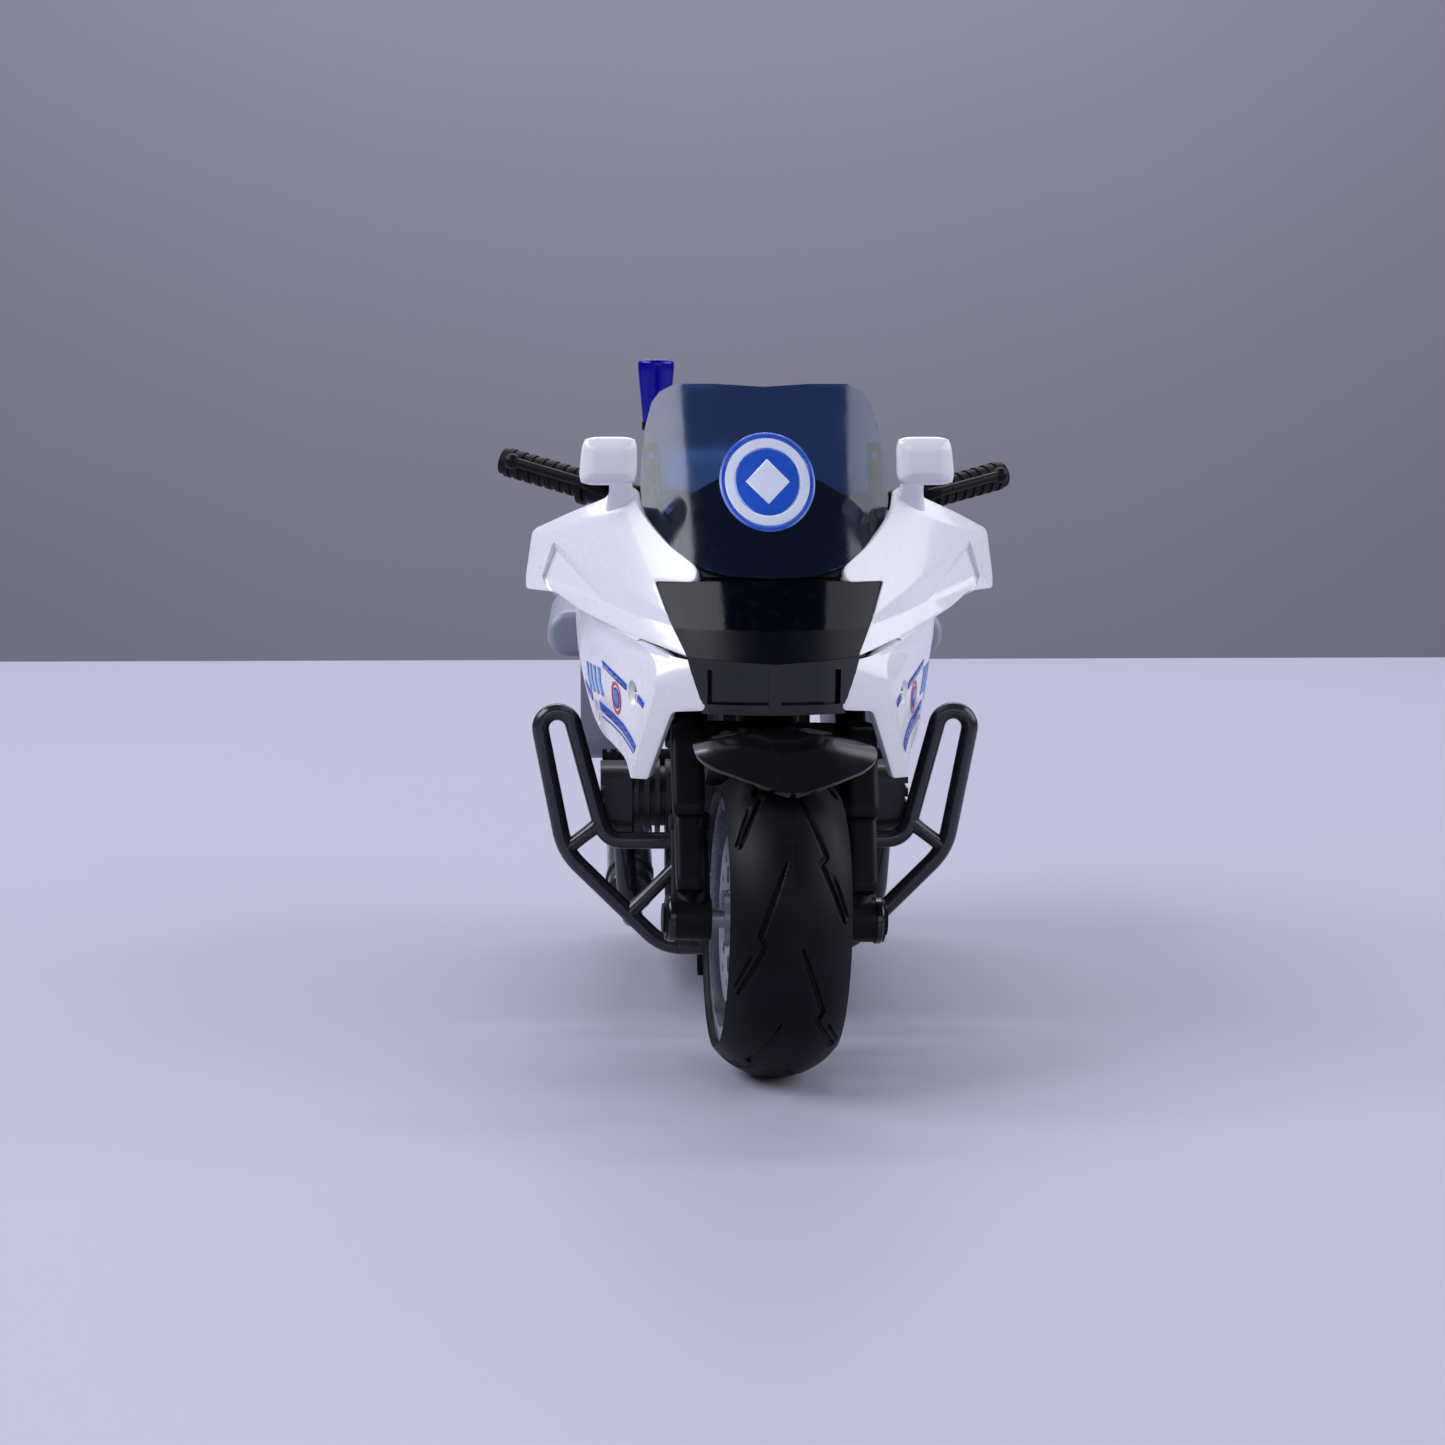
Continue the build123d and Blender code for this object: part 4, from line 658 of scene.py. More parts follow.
@dataclass
class Piece:
    """A mesh object that rides on a CAD body."""

    name: str
    surface: Surface
    finish: Finishes
    body: Body
    slot: str
    replaces: tuple[str, ...] = ()
    thickness: float = 0.0
    bevel: float = 0.0
    sharp_deg: float = 35.0
    weld: float = 0.0
    bevel_deg: float = 48.0

    def make(self) -> bpy.types.Object:
        """Builds the object, with its modifiers and material.

        Returns:
            The Blender object, riding on its body.
        """
        mesh = bpy.data.meshes.new(self.name)
        quads = [f for group in self.surface.faces for f in group.tolist()]
        mesh.from_pydata((self.surface.points * MM).tolist(), [], quads)
        mesh.validate()
        mesh.polygons.foreach_set("use_smooth", np.ones(len(mesh.polygons), bool))
        mesh.update()
        obj = bpy.data.objects.new(self.name, mesh)
        bpy.context.scene.collection.objects.link(obj)
        mesh.materials.append(material(self.finish))
        if self.weld > 0:
            weld = obj.modifiers.new("weld", "WELD")
            weld.merge_threshold = self.weld * MM
        if self.thickness > 0:
            solid = obj.modifiers.new("wall", "SOLIDIFY")
            solid.thickness = self.thickness * MM
            solid.offset = -1.0
        if self.bevel > 0:
            edge = obj.modifiers.new("edges", "BEVEL")
            edge.width = self.bevel * MM
            edge.segments = 2
            edge.limit_method = "ANGLE"
            edge.angle_limit = math.radians(self.bevel_deg)
            edge.harden_normals = False
        mesh.set_sharp_from_angle(angle=math.radians(self.sharp_deg))
        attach(obj, self.body.value)
        if self.replaces:
            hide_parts(*self.replaces)
        LOG.info("%s: %d vertices on %s", self.name, len(mesh.vertices), self.body.value)
        return obj


# ---------------------------------------------------------------------------------------------
# the toy's shared shape
# ---------------------------------------------------------------------------------------------
WHEELBASE = 122.0
REST_STEER_DEG = 4.0


@dataclass(frozen=True)
class Layout:
    """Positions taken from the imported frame, in millimetres."""

    rear_axle_y: float
    front_axle_y: float
    axle_z: float
    steer_point: Array
    steer_axis: Array
    rest_steer: float

    @staticmethod
    def read(frame: dict) -> "Layout":
        """Reads the layout from the loaded frame."""
        low, high = (np.array(c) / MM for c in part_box("rear_tyre"))
        joints = {j["name"]: j for j in frame["joints"]}
        steer = joints["steering_turn"]
        rear_y = (low[1] + high[1]) / 2
        return Layout(
            rear_axle_y=rear_y,
            front_axle_y=rear_y - WHEELBASE,
            axle_z=(low[2] + high[2]) / 2,
            steer_point=np.array(steer["pos_m"]) / MM,
            steer_axis=np.array(steer["axis"]),
            rest_steer=math.radians(REST_STEER_DEG),
        )

    def steer(self, points: Array) -> Array:
        """Turns straight-ahead points to the stored steering angle."""
        u, c, s = self.steer_axis, math.cos(self.rest_steer), math.sin(self.rest_steer)
        p = points - self.steer_point
        return self.steer_point + p * c + np.cross(u, p) * s + np.outer(p @ u, u) * (1 - c)


@dataclass(frozen=True)
class CowlShape:
    """The nose's front surface, as in the CAD source."""

    widths: tuple[float, ...] = (0.0, 12.0, 18.0, 27.0, 41.0)
    seam: tuple[float, ...] = (-5.2, -1.2, 4.8, 17.8, 38.3)
    top: tuple[float, ...] = (15.3, 18.3, 21.3, 25.3, 42.8)
    chin: tuple[float, ...] = (-1.0, 2.6, 8.6, 21.0, 40.0)

    def _line(self, reaches: tuple[float, ...], x: Array) -> Array:
        knots = np.r_[-np.array(self.widths[:0:-1]), self.widths]
        values = np.r_[reaches[:0:-1], reaches]
        return natural_spline(knots, values)(x)

    def upper(self, x: Array, z: Array) -> Array:
        """Reach behind the front axle of the upper cowl at (x, z)."""
        t = (z - 64.0) / 32.0
        return self._line(self.seam, x) * (1 - t) + self._line(self.top, x) * t

    def lower(self, x: Array, z: Array) -> Array:
        """Reach of the lower cowl at (x, z)."""
        t = (z - 47.0) / 24.0
        return self._line(self.chin, x) * (1 - t) + self._line(self.seam, x) * t


def smooth(t: Array) -> Array:
    """Smooth step of a clipped 0 to 1 value."""
    t = np.clip(t, 0, 1)
    return t * t * (3 - 2 * t)


@dataclass
class Assembly:
    """A group of pieces of one kind."""

    at: Layout

    def pieces(self) -> list[Piece]:
        """The pieces of this group."""
        raise NotImplementedError

    def build(self) -> list[bpy.types.Object]:
        """Makes every piece of the group."""
        return [p.make() for p in self.pieces()]


# ---------------------------------------------------------------------------------------------
# wheels
# ---------------------------------------------------------------------------------------------
@dataclass
class Tyre(Assembly):
    """A tyre with a directional zig-zag tread cut into its crown.

    Attributes are millimetres.
    """

    axle_y: float
    width: float
    body: Body
    node: str
    steered: bool
    radius: float = 25.22
    bead_radius: float = 18.64
    flange_radius: float = 19.8
    crown_share: float = 0.64
    groove_depth: float = 0.6
    groove_pitch: float = 26.4
    around: int = 600
    across: int = 96

    def _section(self) -> tuple[Array, Array, Array]:
        """Section as half-circle crown, bulged side walls and bead, with distance from the centre."""
        half = self.width / 2
        crown = self.crown_share * self.width
        shoulder = self.radius - crown + math.sqrt(crown**2 - half**2)
        bead = half - 2.09
        reach = math.asin(half / crown)
        a = np.linspace(-reach, reach, self.across)
        x = crown * np.sin(a)
        r = self.radius - crown + crown * np.cos(a)
        s = np.linspace(0, 1, 12)[1:]
        wall_x = half - 0.75 * s**1.6
        wall_r = shoulder + (self.flange_radius + 0.1 - shoulder) * s
        ledge = np.array([[half - 1.3, self.flange_radius], [bead, self.flange_radius - 0.15],
                          [bead, self.bead_radius]])
        right = np.vstack([np.c_[wall_x, wall_r], ledge])
        left = right[::-1] * (-1, 1)
        section = np.vstack([left, np.c_[x, r], right])
        centre = np.r_[np.full(len(left), -99.0), crown * a, np.full(len(right), 99.0)]
        wall = np.r_[left[:, 1], np.full(len(a), 99.0), right[:, 1]]
        return section, centre, wall

    def _tread(self, along: Array, centre: Array) -> Array:
        """How deep the tread is cut: on each side a chain of two long slanted cuts joined by a short jog."""
        pitch = self.groove_pitch
        side = np.abs(centre) + 0.0 * along
        shift = np.where(centre > 0, 0.5, 0.0)
        a = ((along / pitch + shift) % 1.0) * pitch
        knots = np.array([0.0, 11.6, 13.0, 22.5]) / 26.4 * pitch
        lane = np.interp(a, knots, [1.2, 5.3, 4.3, 8.7])
        width = np.interp(a, [0.0, 3.0, 11.4, 12.4, 14.0, 21.0, 22.5], [0.05, 0.42, 0.62, 0.8, 0.5, 0.62, 0.1])
        cut = (1 - smooth((np.abs(side - lane) - width * 0.55) / 0.22)) * (a < 22.6)
        a2 = (a + 0.46 * pitch) % pitch
        lane2 = np.interp(a2, [0.0, 8.0], [6.3, 9.6])
        nick = (1 - smooth((np.abs(side - lane2) - 0.22) / 0.22)) * smooth(a2 / 1.2) * (1 - smooth((a2 - 6.6) / 1.4))
        seam = 0.10 * (1 - smooth((side - 0.08) / 0.16))
        return np.maximum.reduce([cut, nick * 0.8, seam])

    def surface(self) -> Surface:
        """The tyre as its section turned about the axle, its crown lowered where the tread is cut."""
        section, centre, wall = self._section()
        count = round(2 * math.pi * self.radius / self.groove_pitch)
        turn = np.arange(self.around) * 2 * np.pi / self.around
        along = turn * count * self.groove_pitch / (2 * np.pi)
        depth = self._tread(along[:, None], centre[None, :]) * self.groove_depth
        depth[:, np.abs(centre) > 90] = 0.0
        rings = 0.16 * np.exp(-(((wall - self.flange_radius - 1.5) / 0.22) ** 2))
        r = section[:, 1][None] - depth
        x = np.repeat(section[:, 0][None], self.around, 0) + np.sign(section[:, 0]) * rings
        y = self.axle_y - np.sin(turn)[:, None] * r
        z = self.at.axle_z + np.cos(turn)[:, None] * r
        surface = grid_surface(x, y, z, wrap_rows=True, wrap_columns=True)
        return Surface(surface.points, [surface.faces[0][:, ::-1]])

    def pieces(self) -> list[Piece]:
        """The tyre."""
        surface = self.surface()
        if self.steered:
            surface = surface.moved(self.at.steer)
        return [Piece(f"{self.node}_tread", surface, Finishes.RUBBER, self.body, "rubber_tyre", (self.node,),
                      sharp_deg=50)]


@dataclass
class Fender(Assembly):
    """The front mudguard: a narrow guard between the fork legs, widening to a ridged beak."""

    crest_radius: float = 31.0
    wall: float = 0.8
    edge_angles: tuple[float, ...] = (-52, -50, 2.2, 3.6, 6.0, 9.5, 13.0, 17.5, 21.0, 25.5, 29.3, 33.0, 36.0, 37.1,
                                      37.5)
    edge_halves: tuple[float, ...] = (7.5, 9.6, 9.6, 11.8, 13.7, 14.5, 14.6, 14.3, 13.5, 11.8, 9.6, 7.2, 4.4, 2.0,
                                      0.6)

    def pieces(self) -> list[Piece]:
        """The guard, as a grid of angle round the wheel by share of its half width."""
        low, high = self.edge_angles[0], self.edge_angles[-1]
        angle = np.unique(np.r_[np.linspace(low, 3, 60), np.linspace(3, high, 110)])
        curve = rounded(np.c_[self.edge_angles, self.edge_halves], 1.2, 6, closed=False)
        half = np.interp(angle, curve[:, 0], curve[:, 1])
        t = np.sin(np.linspace(-1, 1, 81) * math.pi / 2)
        x = half[:, None] * t[None]
        beak = smooth((angle - 2) / 9)[:, None]
        side = np.abs(x) / 14.2
        fall = 2.1 * smooth((angle - 8) / 34)[:, None]
        drop = side**1.8 * (2.2 - 0.3 * beak)
        ridge = beak * 0.30 * np.exp(-((x / 1.1) ** 2))
        lobe = np.exp(-(((np.abs(x) - 6.2) / 4.2) ** 2))
        hollow = beak * (0.7 * np.exp(-((x / 2.8) ** 2)) - 0.5 * lobe)
        r = self.crest_radius - drop - fall + ridge - hollow
        phi = np.radians(angle)[:, None]
        y = self.at.front_axle_y - np.sin(phi) * r
        z = self.at.axle_z + np.cos(phi) * r
        surface = grid_surface(x, y, z).turned_outward((0, -0.3, 1)).moved(self.at.steer)
        return [Piece("front_fender_shell", surface, Finishes.BLACK_GLOSS, Body.STEERING, "black_gloss",
                      ("front_fender",), thickness=self.wall, bevel=0.1, sharp_deg=60)]


# ---------------------------------------------------------------------------------------------
# fairing
# ---------------------------------------------------------------------------------------------
@dataclass
class UpperFairing(Assembly):
    """A wing of the upper fairing with its folds, mirror stalk and mirror housing."""

    side: Side
    cowl: CowlShape = field(default_factory=CowlShape)
    wall: float = 1.7
    spacing: float = 0.62
    mirror_centre: tuple[float, float, float] = (26.0, -43.15, 98.0)
    mirror_size: tuple[float, float, float] = (9.3, 4.6, 7.9)

    def outline(self) -> Array:
        """The wing's outline seen from the front, its corners rounded."""
        corners = [(13.8, 67.45), (17.9, 68.65), (22.4, 69.85), (26.4, 71.35), (31.2, 73.35), (35.0, 75.8),
                   (40.1, 75.8), (40.1, 78.0), (38.9, 85.9), (32.6, 89.1), (26.2, 91.9), (25.4, 93.6), (21.7, 93.6),
                   (21.2, 90.3), (19.25, 87.6), (16.45, 84.5), (13.6, 82.45), (11.8, 81.1), (12.4, 78.9),
                   (18.7, 78.75), (16.75, 73.4)]
        radii = [0.5, 1, 1, 1, 1, 0.8, 0.7, 0.7, 1.1, 2.0, 1.4, 0.8, 0.3, 1.2, 1.2, 1.5, 1.0, 1.1, 0.9, 0.5, 0.8]
        return rounded(corners, radii, 5)

    def facets(self) -> tuple[Array, Array]:
        """The folded part of the wing: corners as (x, z, how far sunk), and the triangles on them."""
        corners = {
            "r0": (15.6, 73.0, 0.0), "r1": (21.86, 76.37, 0.0), "r2": (24.94, 78.26, 0.0), "r3": (28.41, 80.3, 0.0),
            "r4": (32.44, 81.95, 0.0), "r5": (35.18, 84.1, 0.0), "r6": (38.5, 85.35, 0.0),
            "p": (35.0, 82.8, 1.5), "q": (36.8, 78.18, 1.15), "s": (26.92, 74.86, 1.75),
            "t1": (22.73, 73.48, 1.2), "t0": (15.0, 71.6, 0.45),
            "l4": (36.2, 77.1, 0.9), "l3": (31.3, 75.75, 1.2),
            "b5": (35.0, 75.0, 0.7), "b4": (31.2, 72.7, 1.0), "b3": (26.4, 70.7, 0.9), "b2": (22.4, 69.2, 0.5),
            "b1": (17.9, 68.0, 0.2), "b0": (13.0, 66.5, 0.0),
            "e1": (35.6, 83.35, 0.0), "e2": (37.3, 78.15, 0.0), "e3": (36.5, 76.5, 0.3), "e4": (36.2, 75.0, 0.5),
            "o1": (39.6, 86.3, 1.0), "o2": (40.8, 75.0, 1.3),
        }
        names = ("r5 p r4|r4 p s|r4 s r3|r3 s r2|r2 s t1|r2 t1 r1|r1 t1 t0|r1 t0 r0|p q s|q l4 l3|q l3 s|l4 b5 l3|"
                 "l3 b5 b4|l3 b4 s|s b4 b3|s b3 t1|t1 b3 b2|t1 b2 t0|t0 b2 b1|t0 b1 b0|r5 e1 p|p e1 e2|p e2 q|"
                 "q e2 e3|q e3 l4|l4 e3 b5|r5 r6 e1|e1 r6 o1|e1 o1 o2|e1 o2 e2|e2 o2 e3|e3 o2 e4|e3 e4 b5")
        order = list(corners)
        tris = [[order.index(n) for n in t.split()] for t in names.split("|")]
        return np.array(list(corners.values())), np.array(tris)

    def depth(self, p: Array) -> Array:
        """The wing's surface: the nose shape, bent back above the crest line and sunk by the facets.

        Args:
            p: (x, z) points.

        Returns:
            Y of each point.
        """
        x, z = p[:, 0], p[:, 1]
        y = self.at.front_axle_y + self.cowl.upper(x, z)
        crest = np.interp(x, (23.4, 27.6, 34.0, 38.6), (90.2, 88.75, 86.45, 85.5))
        y += np.maximum(z - crest, 0) * 0.50 * smooth((x - 22.0) / 3.5)
        corners, tris = self.facets()
        a, b, c = (corners[tris[:, i]] for i in range(3))
        area = (b[:, 0] - a[:, 0]) * (c[:, 1] - a[:, 1]) - (b[:, 1] - a[:, 1]) * (c[:, 0] - a[:, 0])
        dx, dz = x[:, None] - a[:, 0], z[:, None] - a[:, 1]
        v = (dx * (c[:, 1] - a[:, 1]) - dz * (c[:, 0] - a[:, 0])) / area
        w = ((b[:, 0] - a[:, 0]) * dz - (b[:, 1] - a[:, 1]) * dx) / area
        within = np.minimum(np.minimum(v, w), 1 - v - w)
        best = np.argmax(within, 1)
        row = np.arange(len(x))
        v, w = v[row, best], w[row, best]
        sunk = a[best, 2] * (1 - v - w) + b[best, 2] * v + c[best, 2] * w
        return y + np.where(within[row, best] > -1e-3, sunk, 0.0)

    def panel(self) -> Surface:
        """The wing's skin, its mesh following every fold."""
        corners, tris = self.facets()
        edges = {tuple(sorted(e)) for t in tris.tolist() for e in (t[:2], t[1:], (t[0], t[2]))}
        folds = [corners[list(e), :2] for e in sorted(edges)]
        crest = np.array([(23.4, 90.2), (27.6, 88.75), (34.0, 86.45), (38.6, 85.5)])
        flat, faces = planar_mesh(self.outline(), self.spacing, [*folds, crest])
        surface = Surface(np.c_[flat[:, 0], self.depth(flat), flat[:, 1]], [faces])
        return surface.turned_outward((0, -1, 0))

    def stalk(self) -> Surface:
        """The mirror's stalk: rounded sections that narrow from the wing up to the housing."""
        z = np.linspace(88.6, 97.0, 26)
        t = (z - z[0]) / (z[-1] - z[0])
        cx = 23.7 + 0.5 * t
        cy = self.at.front_axle_y + 25.2 - 4.6 * smooth(t * 1.3)
        hx = 3.0 - 1.05 * smooth(t * 1.6)
        hy = 2.3 - 0.5 * smooth(t * 1.4)
        a = np.arange(36) * 2 * np.pi / 36
        ca, sa = np.cos(a), np.sin(a)
        ex, ey = np.sign(ca) * np.abs(ca) ** 0.7, np.sign(sa) * np.abs(sa) ** 0.7
        x = cx[:, None] + hx[:, None] * ex
        y = cy[:, None] + hy[:, None] * ey
        side = grid_surface(x, y, z[:, None] + 0 * x, wrap_columns=True)
        ring = np.arange(len(a))
        return Surface(side.points, [*side.faces, ring[None, ::-1], (ring + (len(z) - 1) * len(a))[None]])

    def housing(self) -> Surface:
        """The mirror's shell: a rounded box, its inner edge leaning and its face a little crowned."""
        box = rounded_box(self.mirror_size, 1.5)
        p = box.points.copy()
        p[:, 0] += p[:, 2] * -0.06 - p[:, 0] * p[:, 2] * 0.008
        front = np.clip(-p[:, 1] / (self.mirror_size[1] / 2), 0, 1)
        edge = np.maximum(np.abs(p[:, 0]) / 4.6, np.abs(p[:, 2]) / 3.9)
        p[:, 1] += front * (smooth((edge - 0.62) / 0.12) * 0.55 - 0.2 * (1 - edge**2))
        return Surface(p + np.array(self.mirror_centre), box.faces)

    def pieces(self) -> list[Piece]:
        """The wing, its stalk and its mirror housing."""
        panel, stalk, housing = (self.side.turn(part) for part in (self.panel(), self.stalk(), self.housing()))
        w = self.side.word
        white = (Finishes.WHITE, Body.CHASSIS, "white_shell")
        return [
            Piece(f"fairing_wing_{w}", panel, *white, (f"fairing_upper_{w}",), self.wall, 0.16, 18,
                  bevel_deg=35),
            Piece(f"mirror_stalk_{w}", stalk, *white, sharp_deg=60),
            Piece(f"mirror_housing_{w}", housing, *white, weld=0.01, sharp_deg=50),
        ]


@dataclass
class ScreenBadge(Assembly):
    """A round badge on the windscreen: a dark rim, a pale ring and a disc with a lozenge."""

    at: Layout
    centre_z: float = 94.7
    radius: float = 7.9
    lift: float = 0.10

    def screen_y(self, x: Array, z: Array) -> Array:
        """The screen's outer face."""
        return self.at.front_axle_y + 4.6 + 0.88 * (z - 79.6) + 0.026 * x * x

    def layer(self, outer: float, inner: float, lift: float, corners: int = 96, crown: float = 0.0) -> Surface:
        """A ring, disc or lozenge that lies on the screen: rings of points round its middle, raised by
        lift + crown * smooth(distance to the edge / 0.35).

        Args:
            outer: outer radius.
            inner: inner radius, 0 for a disc.
            lift: how far it stands off the screen.
            corners: points in each ring.
            crown: extra height inside the edge.

        Returns:
            The layer's surface.
        """
        rings = np.linspace(outer, max(inner, 0.02), 14)
        a = np.arange(corners) * 2 * np.pi / corners + math.pi / 2
        x = rings[:, None] * np.cos(a)
        z = rings[:, None] * np.sin(a)
        edge = np.minimum(np.abs(rings - outer), np.abs(rings - inner) if inner > 0 else 99)
        up = lift + crown * smooth(edge / 0.35)
        y = self.screen_y(x, z + self.centre_z) - up[:, None] * 1.25
        return grid_surface(x, y, z + self.centre_z, wrap_columns=True).turned_outward((0, -1, 0))

    def pieces(self) -> list[Piece]:
        """The layers of the badge."""
        r, up = self.radius, self.lift
        parts = [
            ("badge_rim", self.layer(r, r - 0.95, up, crown=0.18), Finishes.PRINT_BLUE),
            ("badge_ring", self.layer(r - 0.9, r - 2.5, up, crown=0.06), Finishes.PRINT_PALE),
            ("badge_disc", self.layer(r - 2.45, 0, up), Finishes.PRINT_BLUE),
            ("badge_lozenge", self.layer(3.6, 0, up + 0.1, corners=4), Finishes.PRINT_PALE),
        ]
        return [Piece(n, s, f, Body.CHASSIS, "white_shell" if f is Finishes.PRINT_PALE else "lamp_blue",
                      thickness=0.09, sharp_deg=60) for n, s, f in parts]


@dataclass
class SideFairing(Assembly):
    """A side fairing: a front face on the nose shape, a crease, and a bulged side wall with screw wells.

    Its surface is worked out over (u, z): u below 0 runs inwards over the front face from the
    crease, and u above 0 runs back along the side.
    """

    side: Side
    cowl: CowlShape = field(default_factory=CowlShape)
    wall: float = 1.5
    spacing: float = 0.6
    crease_z: tuple[float, ...] = (47.2, 57.5, 60.0, 65.2, 67.3, 70.5, 74.0)
    crease_x: tuple[float, ...] = (22.6, 19.9, 19.2, 18.4, 19.3, 23.4, 27.6)
    station_z: tuple[float, ...] = (47.2, 60.0, 66.5, 74.0)
    mid: tuple[tuple[float, float], ...] = ((25.6, 30.0), (24.8, 23.0), (25.4, 22.0), (30.0, 31.0))
    wide: tuple[tuple[float, float], ...] = ((27.6, 46.0), (30.0, 50.0), (30.8, 50.0), (31.2, 50.0))
    rear: tuple[tuple[float, float], ...] = ((28.4, 72.0), (31.2, 72.0), (31.8, 72.0), (31.8, 72.0))
    wells: tuple[tuple[float, float], ...] = ((14.4, 60.2), (40.4, 54.4))
    inner_z: tuple[float, ...] = (47.2, 58.0, 59.1, 67.4, 70.0, 74.0)
    inner_x: tuple[float, ...] = (14.5, 12.0, 11.4, 13.6, 17.9, 24.0)
    front_lean: float = 0.62
    ledge: float = 1.5
    well_radius: float = 2.2
    well_depth: float = 1.2

    def __post_init__(self) -> None:
        """Works out the side wall's table of half widths over height and reach."""
        line = rounded(np.c_[self.crease_z, self.crease_x], 1.0, 8, closed=False)
        self.line = line
        self.table_z = np.linspace(46.5, 74.5, 90)
        cx = np.interp(self.table_z, line[:, 0], line[:, 1])
        cr = self.front_reach(cx, self.table_z)
        self.table_u = np.linspace(0, 66, 140)
        rows = []
        for z, x0, r0 in zip(self.table_z, cx, cr):
            knots = [(x0, r0)] + [
                tuple(float(natural_spline(self.station_z, [q[i] for q in group])(z)) for i in (0, 1))
                for group in (self.mid, self.wide, self.rear)
            ]
            k = np.array(knots)
            rows.append(natural_spline(k[:, 1], k[:, 0])(r0 + self.table_u))
        self.table = np.array(rows)
        self.table_r = cr

    def front_reach(self, x: Array, z: Array) -> Array:
        """Reach of the front face: a flat lean from its inner edge, turning into the nose shape,
        set in by a ledge, where it tucks under the wing."""
        inner_x = np.interp(z, self.inner_z, self.inner_x)
        lean = self.cowl.lower(inner_x, z) + self.front_lean * (x - inner_x)
        tuck = smooth((z - 63.0) / 4.5)
        return lean * (1 - tuck) + (self.cowl.lower(x, z) + self.ledge * smooth((z - 64.5) / 3)) * tuck

    def crease(self, z: Array) -> tuple[Array, Array]:
        """Half width and reach of the crease at a height."""
        x = np.interp(z, self.line[:, 0], self.line[:, 1])
        return x, np.interp(z, self.table_z, self.table_r)

    def side_x(self, reach: Array, z: Array) -> Array:
        """Half width of the side wall at a reach behind the front axle, read from the table."""
        u = np.clip(reach - self.crease(z)[1], 0, 65.9)
        i = np.clip((z - self.table_z[0]) / (self.table_z[1] - self.table_z[0]), 0, 88.999)
        j = u / (self.table_u[1] - self.table_u[0])
        i0, j0 = i.astype(int), j.astype(int)
        fi, fj = i - i0, j - j0
        t = self.table
        low = t[i0, j0] * (1 - fj) + t[i0, j0 + 1] * fj
        high = t[i0 + 1, j0] * (1 - fj) + t[i0 + 1, j0 + 1] * fj
        return low * (1 - fi) + high * fi

    def place(self, p: Array) -> Array:
        """Points of the surface for (u, z) points."""
        u, z = p[:, 0], p[:, 1]
        cx, cr = self.crease(z)
        front_x = cx + np.minimum(u, 0)
        front_r = self.front_reach(front_x, z)
        side_r = cr + np.maximum(u, 0)
        x = np.where(u < 0, front_x, self.side_x(side_r, z))
        r = np.where(u < 0, front_r, side_r)
        return np.c_[x, self.at.front_axle_y + r, z]

    def outline(self) -> Array:
        """The fairing's edge over (u, z)."""
        corners = [(-6.1, 66.8), (-3.6, 67.1), (-1.6, 67.9), (-0.2, 69.1), (4, 70.8), (10, 72.1), (18, 73.0),
                   (30, 73.4), (46, 72.8), (53, 71.4), (57, 67.6), (58.5, 64.4), (49.2, 58.0), (39.4, 53.2),
                   (30.2, 51.0), (19.6, 50.3),
                   (8, 49.3), (0, 46.9), (-2.7, 46.9), (-3.1, 53.4), (-3.5, 58.4), (-8.5, 58.9)]
        radii = [0.6, 1, 1, 1, 2, 3, 4, 5, 4, 2.5, 2.0, 2.5, 4, 4, 4, 3, 3, 0.4, 0.5, 2.0, 0.8, 0.8]
        return rounded(corners, radii, 5)

    def circle(self, reach: float, z: float, radius: float, count: int = 40) -> Array:
        """A circle seen from the side, over (u, z)."""
        a = np.arange(count) * 2 * np.pi / count
        zz = z + radius * np.sin(a)
        return np.c_[reach + radius * np.cos(a) - self.crease(zz)[1], zz]

    def well(self, reach: float, z: float) -> Surface:
        """A screw well: a ring-shaped floor and a round wall up to the skin."""
        a = np.arange(40) * 2 * np.pi / 40
        x0 = float(self.side_x(np.array([reach]), np.array([z]))[0])
        rings = []
        for radius, depth in ((0.2, 1.0), (1.75, 1.0), (1.85, 1.0), (2.1, 0.97), (2.2, 0.85)):
            r = radius * self.well_radius / 2.2
            y = reach + self.at.front_axle_y + r * np.cos(a)
            rings.append(np.c_[np.full(40, x0 - depth * self.well_depth), y, z + r * np.sin(a)])
        r = self.well_radius * 1.01
        rr, zz = reach + r * np.cos(a), z + r * np.sin(a)
        rings.append(np.c_[self.side_x(rr, zz) - 0.12, rr + self.at.front_axle_y, zz])
        points = np.vstack(rings)
        return Surface(points, [grid_quads(6, 40, wrap_columns=True)]).turned_outward((1, 0, 0))

    def skin(self) -> Surface:
        """The fairing's skin, its mesh following the crease and open at the screw wells."""
        crease = np.c_[np.zeros(30), np.linspace(47.6, 69.7, 30)]
        holes = [self.circle(r, z, self.well_radius) for r, z in self.wells]
        flat, tris = planar_mesh(self.outline(), self.spacing, [crease], holes)
        return Surface(self.place(flat), [tris]).turned_outward((1, -0.4, 0))

    def drape(self, outline: Array, holes: Sequence[Array], lift: float) -> Surface:
        """Lays a flat (reach, z) shape on the side wall.

        Args:
            outline: closed boundary.
            holes: closed boundaries left open.
            lift: how far it stands off the wall.

        Returns:
            The laid shape.
        """
        flat, tris = planar_mesh(outline, 0.7, holes=holes)
        x = self.side_x(flat[:, 0], flat[:, 1]) + lift
        return Surface(np.c_[x, flat[:, 0] + self.at.front_axle_y, flat[:, 1]], [tris]).turned_outward((1, 0, 0))

